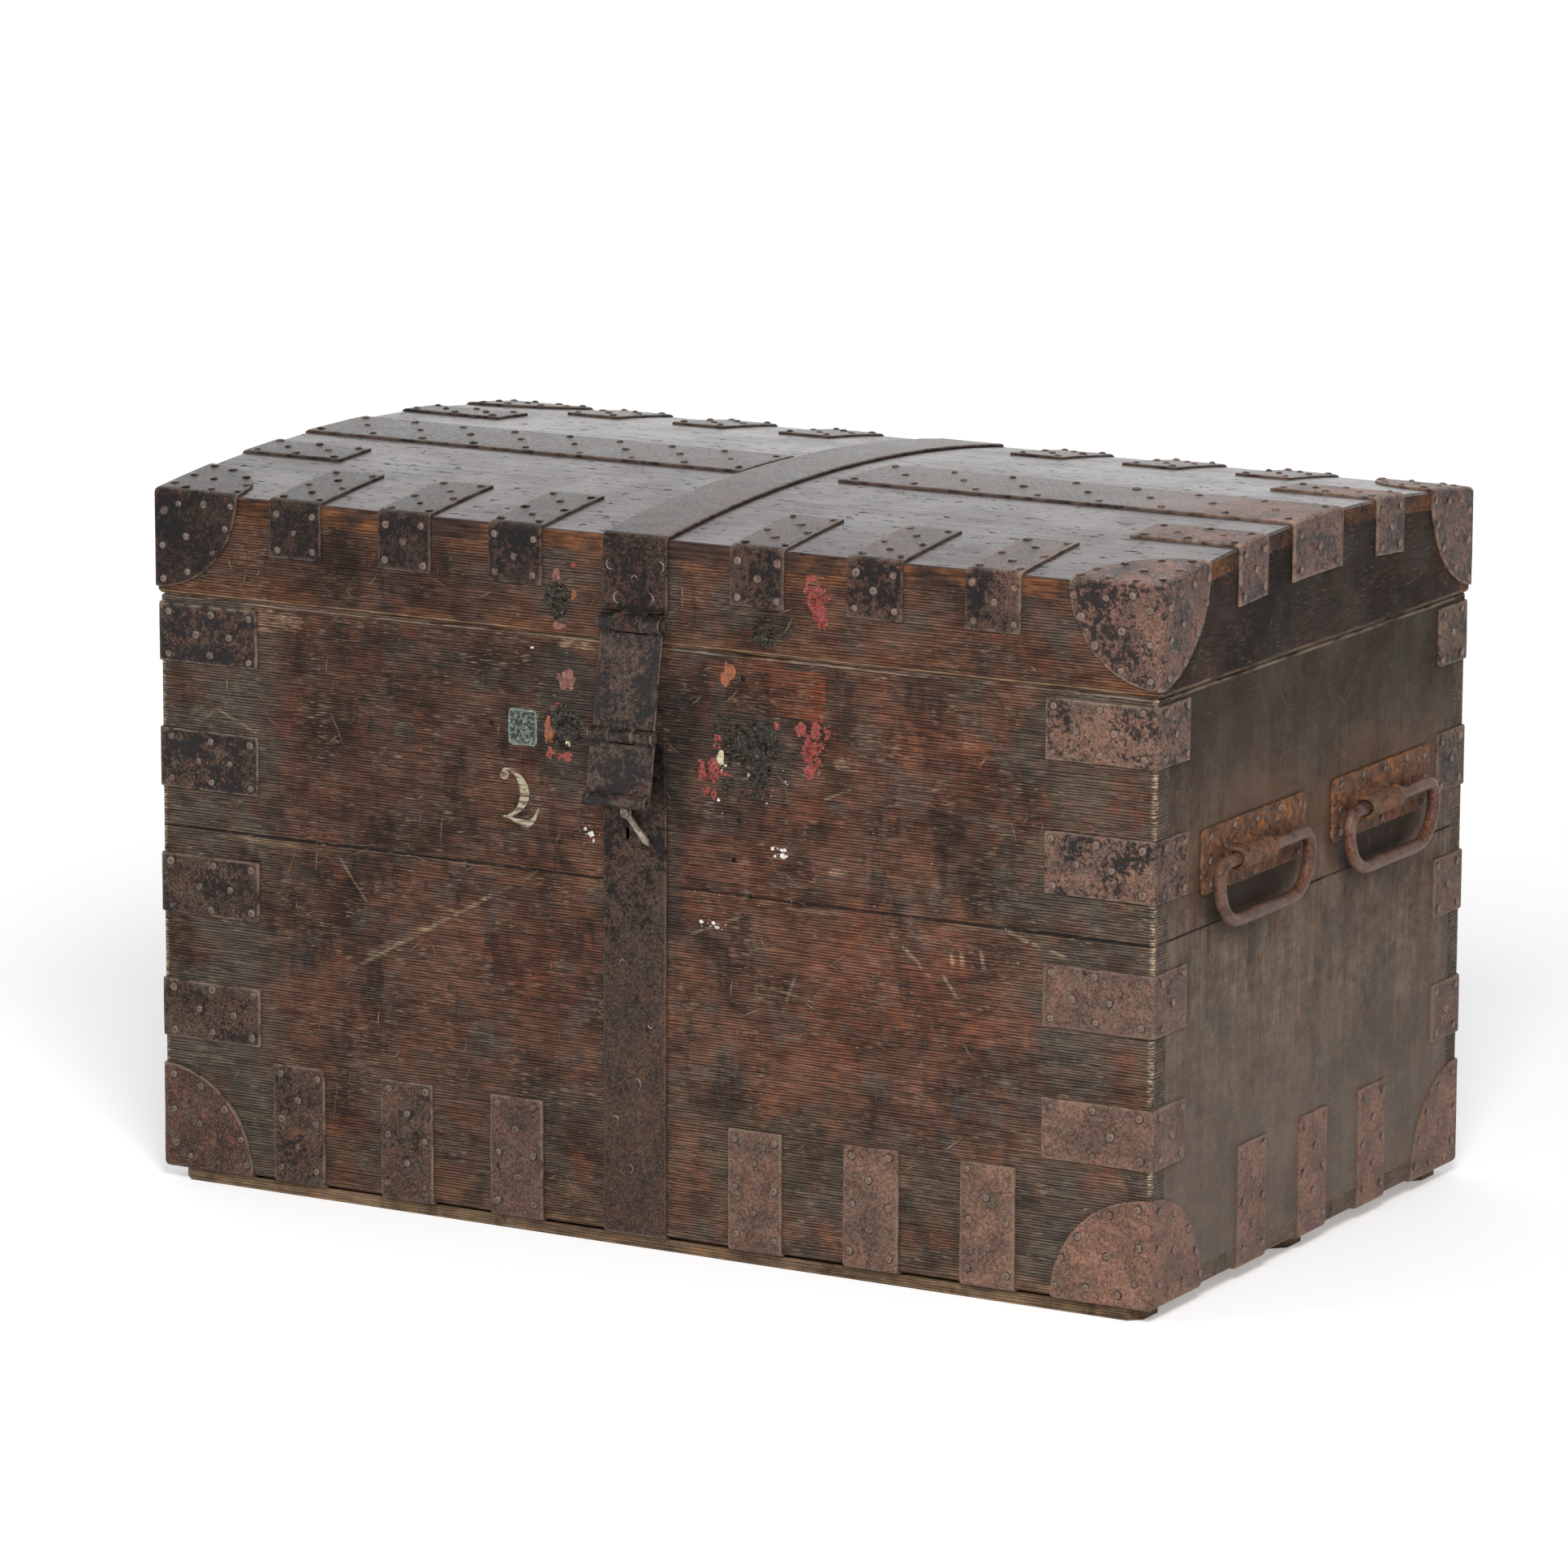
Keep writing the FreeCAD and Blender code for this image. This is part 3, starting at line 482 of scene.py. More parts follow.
def inside_wood(p, colour):
    """Bare dry oak on the faces that the closed chest hides."""
    inner_x = half_length - board_thickness
    inner_y = half_depth - board_thickness
    in_x = p.band(p.absolute(p.x), inner_x + 2 * mm, inner_x + 12 * mm, 1.0, 0.0)
    in_y = p.band(p.absolute(p.y), inner_y + 2 * mm, inner_y + 12 * mm, 1.0, 0.0)
    return p.mix(p.times(in_x, in_y, 0.95), colour, dry_oak(p, 80, 1.6))


def spots(p, colour, tint, strength, places, *raggedness):
    """Tints ragged ellipses on the front. Each place is x, z and the reach along them in millimetres."""
    for place in places:
        patch = p.spot(p.x, *place, *raggedness)
        colour = p.mix(p.times(patch, strength), colour, tint)
    return colour


# Marks on the front, in millimetres. Red-brown patches: x, z, reach along x and along z, strength.
BRICK_PATCHES = ((60, 285, 80, 30, 0.4), (200, 230, 80, 40, 0.45), (150, 170, 50, 34, 0.4), (-80, 200, 36, 50, 0.3),
                 (250, 390, 50, 34, 0.35), (-290, 150, 50, 30, 0.15))
# Dark patches: x, z, reach along x and along z. Most are stains; the tall narrow one at x 26 is a painted shadow
# along the right edge of the hasp and the middle strap.
DARK_PATCHES = ((88, 378, 46, 30), (-62, 385, 26, 50), (26, 330, 12, 110), (-68, 430, 22, 12))
# Dark patches on the lid: most are stains; the narrow one at x 20 is a painted shadow along the right edge of the
# middle strap.
LID_DARK_PATCHES = ((-72, 490, 20, 30), (80, 488, 22, 20), (20, 490, 12, 34))
RUBBED_SPOTS = ((-330, 437, 18, 9), (-302, 438, 13, 6.5), (162, 299, 6, 3), (170, 378, 10, 5), (-61, 443, 8, 4),
                (-46, 444, 6, 3))
# Scratches: x and z of both ends, width, strength, wobble
SCRATCHES = ((-252, 180, -103, 264, 2.6, 0.6, 1.5), (-240, 190, -160, 234, 5, 0.3, 1.5),
             (205, 262, 243, 228, 2.6, 0.75, 1.5), (248, 236, 262, 218, 2.0, 0.6, 1.5),
             (300, 273, 330, 261, 3.0, 0.8, 1.5), (332, 263, 350, 258, 2.0, 0.7, 1.5),
             (105, 210, 150, 200, 2.0, 0.5, 1.5), (130, 222, 118, 188, 2.0, 0.4, 1.5),
             (-235, 232, -262, 268, 1.8, 0.45, 1.5), (40, 240, 92, 262, 1.8, 0.4, 1.5),
             (-330, 350, -372, 368, 1.6, 0.5, 1.5), (150, 350, 176, 362, 1.8, 0.5, 1.5),
             (256, 256, 258, 240, 3, 0.8, 0.3), (264, 256, 266, 240, 3, 0.8, 0.3),
             (272, 256, 274, 240, 3, 0.8, 0.3), (281, 256, 283, 240, 3, 0.8, 0.3))


def case_front_marks(p, colour):
    """Patches of the case's front and back, with painted light and shade across the front."""
    # Darker to the left and towards the top, lighter to the right and low down: painted light and shade, partly also
    # the wood's own tone.
    left = p.rise(p.x, -440, 380, 0.8, 1.2)
    up = p.rise(p.z, 120, 430, 1.15, 0.84)
    colour = p.shade(colour, p.times(left, up))
    # Dark olive low down and towards the ends, between the iron: partly iron stain, partly painted shade.
    low = p.band(p.z, case_bottom + 80 * mm, case_bottom + 120 * mm, 1.0, 0.0)
    colour = p.lay(colour, (0.050, 0.041, 0.030), p.times(low, 0.6), p.field(50), 0.3, 0.6)
    far = p.rise(p.absolute(p.x), 290, 345)
    colour = p.lay(colour, (0.050, 0.042, 0.033), p.times(far, 0.7), p.field(50, detail=5.0), 0.35, 0.55)
    foot = p.band(p.z, case_bottom + 3 * mm, case_bottom + 26 * mm, 1.0, 0.0)
    colour = p.lay(colour, (0.13, 0.070, 0.036), p.times(foot, 0.7), p.field(60, 60, 20, 4.0),
                   0.45, 0.62)
    colour = seam_line(p, colour)
    broken = p.band(p.field(10, 10, 3, 5.0, 0.75), 0.38, 0.62)
    for *place, strength in BRICK_PATCHES:
        colour = spots(p, colour, (0.105, 0.030, 0.015), p.times(broken, strength), [place], 1.4, 0.9)
    unmarked = colour
    window = p.times(p.rise(p.gap(p.x, 130 * mm), 21, 24, 1.0, 0.0),
                     p.rise(p.gap(p.z, 425 * mm), 16, 19, 1.0, 0.0),
                     p.rise(p.x, 104, 150, 0.35, 1.0))
    faded = p.band(p.field(14, 14, 2, 3.0), 0.3, 0.6, 0.2, 0.7)
    colour = p.mix(p.times(window, faded), colour, (0.135, 0.034, 0.013))
    # Dark stains, and a painted shadow beside the middle strap.
    colour = spots(p, colour, (0.026, 0.021, 0.018), 0.7, DARK_PATCHES, 1.4, 0.7)
    for *ends, width, strength, wobble in SCRATCHES:
        colour = p.mix(p.times(p.scratch(*ends, width, wobble), strength), colour, PALE_WOOD)
    colour = spots(p, colour, (0.20, 0.125, 0.080), p.times(broken, 0.6), RUBBED_SPOTS, 2.2, 0.6)
    colour = p.mix(p.rise(p.y, -10, 10), colour, unmarked)
    end_grain = p.mix(p.band(p.field(16, detail=5.0), 0.36, 0.64), (0.050, 0.036, 0.027), (0.092, 0.070, 0.053))
    # End grain darker towards the top: painted shade, as on the case's ends.
    end_grain = p.vary(end_grain, p.z, 300 * mm, 440 * mm, 1.0, 0.5)
    colour = p.lay(colour, end_grain, 0.9, p.absolute(p.sideways), 0.5, 0.85)
    colour = rim_wear(p, colour, case_top, 1.6 * mm, (0.18, 0.135, 0.10), 0.6)
    colour = upright_wear(p, colour)
    return inside_wood(p, colour)


def case_end_marks(p, colour):
    """The ends of the case: painted light that makes them greyer and paler low down, painted shade at the top, rust
    stains round the handles and a painted shadow under each.
    """
    colour = p.vary(colour, p.field(9, 9, 180, 4.0, 0.65), 0.32, 0.68, 0.86, 1.16)
    colour = p.vary(colour, p.field(2.2, 2.2, 90, 3.0, 0.6), 0.34, 0.66, 0.88, 1.13)
    colour = p.vary(colour, p.field(9, detail=6.0, rough=0.75), 0.34, 0.66, 0.74, 1.28)
    # Much darker at the top: painted shade.
    painted_shade_top = p.band(p.z, 300 * mm, case_top - 30 * mm)
    colour = p.mix(p.times(painted_shade_top, 0.9), colour, (0.028, 0.018, 0.012))
    # Paler and greyer low down: painted light.
    colour = p.lay(colour, (0.140, 0.110, 0.090), 0.65, p.z, 260 * mm, case_bottom + 40 * mm)
    tan = p.field(34, detail=5.0, rough=0.65)
    amount = p.minus(0.4, p.times(painted_shade_top, 0.3))
    colour = p.lay(colour, (0.156, 0.100, 0.062), amount, tan, 0.5, 0.66)
    olive = p.field(48, detail=5.0, rough=0.65)
    colour = p.lay(colour, (0.064, 0.054, 0.041), 0.4, olive, 0.5, 0.66)
    colour = seam_line(p, colour)
    for plate_name in ("handle_plate_right_front", "handle_plate_right_back"):
        low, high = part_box(plate_name)
        y, z = [(low[i] + high[i]) / 2 / mm for i in (1, 2)]
        halo = p.spot(p.y, y, z, 105, 48, 1.5, 0.9)
        colour = p.mix(p.times(halo, 0.6), colour, (0.092, 0.046, 0.026))
        # Dark below each handle: a painted shadow of the bail and its plate.
        handle_shadow = p.spot(p.y, y - 8, z - 20, 76, 40, 0.7, 0.6)
        colour = p.mix(p.times(handle_shadow, 0.85), colour, (0.024, 0.016, 0.011))
    colour = rim_wear(p, colour, case_top, 2.6 * mm, (0.23, 0.175, 0.125), 0.75)
    return inside_wood(p, colour)


def lid_side_marks(p, colour):
    """The lid's sides: an orange-brown band under the top edge and a warm, worn lower edge."""
    # Darker to the left: painted light and shade, partly also the wood's own tone, as on the case's front.
    colour = p.vary(colour, p.x, -400 * mm, 380 * mm, 0.72, 1.0)
    upper = p.band(p.z, lid_edge - 30 * mm, lid_edge - 4 * mm)
    colour = p.lay(colour, (0.120, 0.046, 0.015), p.times(upper, 0.8), p.field(75, 75, 30, 4.0),
                   0.42, 0.58)
    low = p.band(p.z, lid_bottom + 4 * mm, lid_bottom + 18 * mm, 1.0, 0.0)
    colour = p.lay(colour, (0.092, 0.038, 0.016), p.times(low, 0.5), p.field(60, 60, 30), 0.38, 0.6)
    # Dark stains, and a painted shadow beside the middle strap.
    colour = spots(p, colour, (0.035, 0.030, 0.025), 0.6, LID_DARK_PATCHES, 1.0)
    return inside_wood(p, rim_wear(p, colour, lid_bottom, 2.2 * mm, (0.16, 0.10, 0.06), 0.6))


def lid_end_marks(p, colour):
    """The lid's ends: darker than the front, with painted shade towards the top."""
    # Darker towards the top: painted shade.
    colour = p.vary(colour, p.z, lid_bottom, lid_edge, 1.1, 0.85)
    return inside_wood(p, rim_wear(p, colour, lid_bottom, 2.2 * mm, (0.17, 0.11, 0.07), 0.6))


def lid_top_marks(p, colour):
    """The lid's top: rubbed grey-brown, with short dark cracks and pits along the grain."""
    colour = p.lay(colour, SOOT_AND_SHADE, 0.85, p.field(55, 3.2, 3.2, 3.0, 0.6, 0.2), 0.64, 0.7)
    colour = p.lay(colour, SOOT_AND_SHADE, 0.85, p.field(13, 4, 4, 2.0), 0.68, 0.73)
    worn = p.mix(p.band(p.field(50, detail=4.0), 0.4, 0.6), (0.026, 0.014, 0.009), (0.098, 0.038, 0.014))
    worn = p.vary(worn, p.field(30, 1.7, 1.7, 3.0), 0.36, 0.66, 0.45, 1.5)
    colour = p.mix(p.times(p.upright(), 0.95), colour, worn)
    return p.lay(colour, dry_oak(p, 1.6, 80), 1.0, p.level, -0.2, -0.6)


def plain(name, colours, size, roughness=0.5, specular=0.4, depth=0.4, contrast=0.12):
    """Wax, paint and other remains: three tones in lumps. Size and depth are in millimetres."""
    p = Paint(name, specular=specular)
    first, second, third = colours
    lumps = p.field(size, detail=4.0, rough=0.65)
    colour = p.mix(p.band(lumps, 0.5 - contrast, 0.5 + contrast), first, second)
    colour = p.lay(colour, third, 1.0, p.field(0.6 * size, detail=3.0), 0.58, 0.68)
    gloss = p.band(lumps, 0.3, 0.7, roughness - 0.1, roughness + 0.1)
    return p.finish(colour, gloss, p.bump(lumps, depth * mm))


# Tints of each wood: dark, middle, warm and cold
FRONT_OAK = ((0.028, 0.015, 0.010), (0.074, 0.036, 0.023), (0.096, 0.034, 0.018), (0.044, 0.037, 0.031))
END_OAK = ((0.078, 0.053, 0.038), (0.132, 0.092, 0.065), (0.128, 0.073, 0.045), (0.102, 0.084, 0.064))
LID_END_OAK = ((0.014, 0.008, 0.005), (0.028, 0.014, 0.009), (0.036, 0.014, 0.008), (0.020, 0.016, 0.011))
TOP_OAK = ((0.040, 0.026, 0.025), (0.066, 0.044, 0.041), (0.074, 0.038, 0.033), (0.052, 0.044, 0.044))
RUNNER_OAK = ((0.075, 0.047, 0.029), (0.15, 0.095, 0.055), (0.14, 0.075, 0.038), (0.10, 0.075, 0.05))

# Arguments of oak, forged_iron and plain for each material
WOODS = {
    "oak_front": (FRONT_OAK, True, 1.0, 0.7, case_front_marks),
    "oak_end": (END_OAK, False, 0.13, 0.12, case_end_marks),
    "oak_lid_side": (FRONT_OAK, True, 1.0, 0.5, lid_side_marks),
    "oak_lid_end": (LID_END_OAK, False, 0.7, 0.3, lid_end_marks),
    "oak_top": (TOP_OAK, True, 0.55, 0.15, lid_top_marks, True),
    "oak_bottom": (END_OAK, True, 0.6, 0.3, inside_wood),
    "oak_runner": (RUNNER_OAK, True, 0.7, 0.4),
}
IRONS = {
    "iron_case": dict(rust=(0.120, 0.067, 0.048), deep=(0.064, 0.039, 0.030), paint=1.0),
    "iron_low": dict(rust=(0.144, 0.075, 0.053), deep=(0.078, 0.045, 0.033), paint=0.4),
    "iron_lid": dict(rust=(0.094, 0.049, 0.036), deep=(0.050, 0.030, 0.024), paint=0.95, roughness=0.45, sheen=0.45),
    "iron_strap": dict(rust=(0.112, 0.064, 0.046), deep=(0.062, 0.040, 0.031), paint=1.0, sheen=0.5,
                       shade_above=335 * mm),
    "iron_hasp": dict(rust=(0.064, 0.038, 0.029), deep=(0.034, 0.023, 0.019), paint=0.98, roughness=0.38,
                      shade_and_paint_by_place=False, specular=0.16),
    "iron_grey": dict(rust=(0.30, 0.25, 0.21), deep=(0.15, 0.12, 0.10), roughness=0.36, specular=0.4),
    "iron_bail": dict(rust=(0.118, 0.050, 0.030), deep=(0.044, 0.021, 0.015), edge=(0.22, 0.13, 0.095),
                      roughness=0.36, shade_and_paint_by_place=False, specular=0.2),
    "iron_nail": dict(rust=(0.092, 0.050, 0.036), deep=(0.050, 0.030, 0.022), paint=0.3, edge=(0.24, 0.17, 0.13),
                      roughness=0.26, crown="crown", specular=0.28),
}
REMAINS = {
    "wax_red": (((0.070, 0.012, 0.009), (0.30, 0.038, 0.027), (0.38, 0.16, 0.12)), 2, 0.34),
    "wax_orange": (((0.10, 0.040, 0.018), (0.27, 0.066, 0.022), (0.31, 0.11, 0.05)), 4),
    "wax_pink": (((0.10, 0.035, 0.028), (0.19, 0.075, 0.058), (0.25, 0.12, 0.09)), 6),
    "wax_dark": (((0.010, 0.008, 0.006), (0.034, 0.026, 0.019), (0.16, 0.125, 0.092)), 2.6, 0.36, 0.2, 0.8),
    "cream": (((0.34, 0.29, 0.16), (0.55, 0.51, 0.36), (0.60, 0.58, 0.48)), 4),
    "white": (((0.42, 0.37, 0.32), (0.72, 0.70, 0.66), (0.75, 0.74, 0.72)), 3),
    "hole": (((0.004, 0.004, 0.004), (0.010, 0.009, 0.009), (0.02, 0.02, 0.018)), 3, 0.8, 0.1),
    "scuff": (((0.09, 0.062, 0.042), (0.17, 0.125, 0.085), (0.24, 0.185, 0.13)), 12, 0.7, 0.1),
}


def make_materials():
    """All materials, by name."""
    m = {name: oak(name, *settings) for name, settings in WOODS.items()}
    m.update({name: forged_iron(name, **settings) for name, settings in IRONS.items()})
    m.update({name: plain(name, *settings) for name, settings in REMAINS.items()})
    m.update(iron_plate=handle_plate_iron(), label=label_paper(), paint_cream=worn_paint())
    return m


def handle_plate_iron():
    """The plates behind the handles: thick scaly rust, orange spots towards the top and dark hollows."""
    p = Paint("iron_plate", specular=0.12)
    low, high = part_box("handle_plate_right_front")
    scale = p.field(7, detail=6.0, rough=0.8)
    colour = p.mix(p.band(scale, 0.4, 0.6), (0.054, 0.028, 0.018), (0.215, 0.092, 0.045))
    colour = p.lay(colour, (0.125, 0.080, 0.054), 0.45, p.field(16, detail=4.0), 0.46, 0.62)
    up = p.band(p.z, (low[2] + high[2]) / 2 - 6 * mm, high[2] - 6 * mm)
    colour = p.lay(colour, (0.40, 0.140, 0.032), p.times(up, 0.9), p.field(15, detail=3.0), 0.56, 0.66)
    hollow = p.minus(0.9, p.times(up, 0.4))
    colour = p.lay(colour, (0.018, 0.012, 0.009), hollow, p.field(6, detail=5.0, rough=0.7), 0.45, 0.36)
    colour = p.lay(colour, (0.26, 0.17, 0.12), 0.7, p.field(1.6, detail=2.0), 0.6, 0.7)
    return p.finish(colour, p.band(scale, 0.3, 0.7, 0.45, 0.75), p.bump(scale, 1.2 * mm))


def label_paper():
    """Scraped paper with blots of old ink, too worn to read."""
    p = Paint("label", roughness=0.6, specular=0.3)
    blot = p.field(3.6, detail=3.0, rough=0.6, bend=1.2)
    colour = p.mix(p.band(blot, 0.49, 0.6), (0.014, 0.018, 0.014), (0.100, 0.122, 0.098))
    out_x = p.math("DIVIDE", p.gap(p.x, label_place[0]), label_half[0])
    out_z = p.math("DIVIDE", p.gap(p.z, label_place[1]), label_half[1])
    colour = p.lay(colour, (0.135, 0.165, 0.130), 0.7, p.math("MAXIMUM", out_x, out_z), 0.8, 0.88)
    colour = p.lay(colour, (0.27, 0.31, 0.26), 1.0, p.field(2.2, detail=2.0), 0.58, 0.68)
    return p.finish(colour, None, p.bump(blot, 0.3 * mm))


def worn_paint():
    """Cream paint worn off the ribs of the grain."""
    p = Paint("paint_cream", roughness=0.65, specular=0.2)
    rib = p.field(14, 2.1, 2.1, 2.0, 0.6)
    colour = p.mix(p.band(rib, 0.36, 0.56), (0.085, 0.060, 0.040), (0.33, 0.28, 0.20))
    fleck = p.field(2.4, detail=3.0, rough=0.7)
    colour = p.mix(p.band(fleck, 0.56, 0.66), colour, (0.10, 0.070, 0.047))
    return p.finish(colour, None, p.bump(rib, 0.4 * mm))


# Geometry


def linked(name, data):
    """A new object in the scene."""
    made = bpy.data.objects.new(name, data)
    bpy.context.scene.collection.objects.link(made)
    return made


def mesh_object(name, points, faces, material, body, sharp=42):
    """A smooth piece that rides on a body, with sharp edges where faces meet at more than an angle in degrees."""
    mesh = bpy.data.meshes.new(name)
    mesh.from_pydata([tuple(v) for v in points], [], faces)
    mesh.validate()
    for face in mesh.polygons:
        face.use_smooth = True
    mesh.set_sharp_from_angle(angle=math.radians(sharp))
    piece = linked(name, mesh)
    mesh.materials.append(material)
    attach(piece, body)
    return piece


def grid(start, rows, columns, closed=False):
    """Quads between neighbouring rows of points. Closed joins the last point of a row to its first."""
    quads = []
    for row in range(rows - 1):
        first = start + row * columns
        for i in range(columns if closed else columns - 1):
            a, b = first + i, first + (i + 1) % columns
            quads.append((a, b, b + columns, a + columns))
    return quads


def spaced(length, bends=()):
    """Places along a length: close together at both ends and at each bend."""
    stops = [0.0, rim_step, 3 * rim_step]
    stops += [length - s for s in stops]
    for bend in bends:
        count = round(bend_reach / bend_step)
        stops += [bend + i * bend_step for i in range(-count, count + 1)]
    stops = sorted(s for s in set(round(s, 7) for s in stops) if 0 <= s <= length)
    result = [stops[0]]
    for stop in stops[1:]:
        count = max(1, math.ceil((stop - result[-1]) / mesh_step - 0.01))
        start = result[-1]
        result += [start + (stop - start) * i / count for i in range(1, count + 1)]
    return result


def along(corners, s):
    """The point at a distance s along a line with corners."""
    for a, b in zip(corners, corners[1:]):
        length = (b - a).length
        if s <= length or b is corners[-1]:
            return a + (b - a) * (s / length)
        s -= length


def wavy(point, seed):
    """Moves a point a little in the plane of its face, so that no edge is straight."""
    return point + noise.noise_vector(point / edge_wave_length + elsewhere(seed)) * edge_wave


def elsewhere(seed):
    """A place of its own in the noise for each seed."""
    return Vector((seed, 1.7 * seed, 0.6 * seed))


def shell(points, quads, skin, seed):
    """Closes quads laid over a block into a plate of the iron's thickness with a soft rim."""
    edges = [edge for quad in quads for edge in zip(quad, quad[1:] + quad[:1])]
    uses = collections.Counter(frozenset(edge) for edge in edges)
    rim_edges = [edge for edge in edges if uses[frozenset(edge)] == 1]
    rim = {v for edge in rim_edges for v in edge}
    top, under = [], []
    for i, point in enumerate(points):
        moved = wavy(point, seed)
        lift = plate + hammer_wave * noise.noise(point / hammer_wave_length + elsewhere(seed))
        if i in rim:
            lift -= rim_drop
        top.append(skin(moved, lift)[0])
        under.append(skin(moved, -sunk)[0])
    n = len(points)
    faces = [tuple(q) for q in quads] + [tuple(n + v for v in reversed(q)) for q in quads]
    faces += [(b, a, n + a, n + b) for a, b in rim_edges]
    return top + under, faces


def strap_shell(corners, across, width, skin, seed):
    """Plate of one width that follows a line with corners over a block."""
    lengths = [(b - a).length for a, b in zip(corners, corners[1:])]
    total = sum(lengths)
    bends = [sum(lengths[:i]) for i in range(1, len(lengths))]
    rows = spaced(total, bends)
    columns = [t - width / 2 for t in spaced(width)]
    points = []
    for s in rows:
        middle = along(corners, s)
        points += [middle + across * t for t in columns]
    w = len(columns)
    quads = grid(0, len(rows), w)
    outward = skin(points[0], plate)[1]
    first = (points[1] - points[0]).cross(points[w] - points[0])
    if first.dot(outward) < 0:
        quads = [tuple(reversed(q)) for q in quads]
    return shell(points, quads, skin, seed)


def lobe_shell(corner, inward, reach, skin, seed):
    """Three-lobed bracket: a quarter disc on each of the three faces that meet at a corner."""
    turns = lobe_turns + [9.0 * i for i in range(1, 10)] + [90.0 - t for t in reversed(lobe_turns)]
    rings = sorted(set(spaced(reach) + lobe_rings))
    axes = [X * inward.x, Y * inward.y, Z * inward.z]
    points, quads, index = [], [], {}

    def number(point):
        key = tuple(round(v, 6) for v in point)
        if key not in index:
            index[key] = len(points)
            points.append(point)
        return index[key]

    for first, second in ((0, 1), (1, 2), (2, 0)):
        outward = -axes[3 - first - second]
        for r0, r1 in zip(rings, rings[1:]):
            for t0, t1 in zip(turns, turns[1:]):
                quad = []
                for r, t in ((r0, t0), (r1, t0), (r1, t1), (r0, t1)):
                    turn = math.radians(t)
                    v = number(corner + axes[first] * (r * math.cos(turn)) + axes[second] * (r * math.sin(turn)))
                    if v not in quad:
                        quad.append(v)
                normal = (points[quad[1]] - points[quad[0]]).cross(points[quad[2]] - points[quad[1]])
                if normal.dot(outward) < 0:
                    quad.reverse()
                quads.append(tuple(quad))
    return shell(points, quads, skin, seed)


class Pile:
    """Collects many small things that become one piece."""

    def __init__(self, seed):
        self.points = []
        self.faces = []
        self.random = random.Random(seed)


class Nails(Pile):
    """Domed nail heads."""

    def __init__(self, seed):
        super().__init__(seed)
        self.crowns = []

    def add(self, place, normal):
        """A hammered head, with a foot ring that the material darkens as painted shade."""
        dice = self.random
        radius = nail_radius * dice.uniform(0.86, 1.12)
        height = nail_height * dice.uniform(0.7, 1.15)
        up = (normal + Vector([dice.uniform(-0.14, 0.14) for _ in range(3)])).normalized()
        side = up.orthogonal().normalized()
        front = up.cross(side)
        start = len(self.points)
        turn0 = dice.uniform(0, math.pi)
        stretch = dice.uniform(0.88, 1.12)
        for share, level, crown in nail_rings:
            for i in range(nail_sides):
                turn = turn0 + 2 * math.pi * i / nail_sides
                reach = radius * share * dice.uniform(0.93, 1.05)
                self.points.append(place + side * (reach * math.cos(turn) * stretch)
                                   + front * (reach * math.sin(turn)) + up * (height * level))
                self.crowns.append(crown)
        self.points.append(place + up * height)
        self.crowns.append(1.0)
        self.faces += grid(start, len(nail_rings), nail_sides, True)
        last = start + (len(nail_rings) - 1) * nail_sides
        for i in range(nail_sides):
            self.faces.append((last + i, last + (i + 1) % nail_sides, len(self.points) - 1))
        self.faces.append(tuple(start + i for i in reversed(range(nail_sides))))

    def on_strap(self, corners, across, skin, pattern):
        """Nails at distances from the strap's first end and from its middle line."""
        dice = self.random
        for s, t in pattern:
            s, t = [value + dice.uniform(-nail_scatter, nail_scatter) for value in (s, t)]
            self.add(*skin(along(corners, s) + across * t, plate))

    def make(self, name, material, body, slot):
        """Turns the collected heads into one piece."""
        piece = mesh_object(name, self.points, self.faces, material, body, 70)
        layer = piece.data.attributes.new("crown", "FLOAT", "POINT")
        layer.data.foreach_set("value", self.crowns)


def parts_of(node):
    """Lowest and highest corner of each separate solid in a node, in order along X, then Y, then Z."""
    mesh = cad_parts[node].data

    def find(a):
        while root[a] != a:
            root[a] = root[root[a]]
            a = root[a]
        return a

    keys = [tuple(round(c, 5) for c in v.co) for v in mesh.vertices]
    root = {key: key for key in keys}
    for face in mesh.polygons:
        first = find(keys[face.vertices[0]])
        for v in face.vertices[1:]:
            root[find(keys[v])] = first
    groups = {}
    for key in root:
        groups.setdefault(find(key), []).append(key)
    boxes = []
    for members in groups.values():
        low, high = [Vector([pick(k[i] for k in members) for i in range(3)]) for pick in (min, max)]
        boxes.append((low, high))
    return sorted(boxes, key=lambda box: [round(c, 3) for c in box[0]])


def pair(s, aside):
    """Two nails side by side at a distance s along a strap."""
    return [(s, -aside), (s, aside)]


def staggered(near, far, aside):
    """Pairs and single nails in turn from near to far: two, one, two, one, two."""
    pattern = []
    for i in range(5):
        s = near + (far - near) * i / 4
        pattern += [(s, 0.0)] if i % 2 else pair(s, aside)
    return pattern


def over_edge(leg, drop, aside, near=8 * mm):
    """Nails on the short leg of a strap, which hangs down past the lid's edge."""
    return pair(leg + near, aside) + [(leg + 0.5 * drop, 0.0)] + pair(leg + drop - 7 * mm, aside)


def group(name, node, body, material, slot, straps, skin, seed, nail_material):
    """Replaces a node of straps with plates and their nails. Each strap is (line, across, width, nails)."""
    points, faces = [], []
    nails = Nails(seed)
    for i, (corners, across, width, pattern) in enumerate(straps):
        more, its_faces = strap_shell(corners, across, width, skin, seed + i * 3.7)
        start = len(points)
        points += more
        faces += [tuple(start + v for v in f) for f in its_faces]
        nails.on_strap(corners, across, skin, pattern)
    piece = mesh_object(name, points, faces, material, body)
    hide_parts(node)
    nails.make(name + "_nails", nail_material, body, slot)


def wall_point(run, s, out, z):
    """A point at s along a wall that runs along X (0) or Y (1), and at out across it."""
    return Vector((out, s, z) if run else (s, out, z))


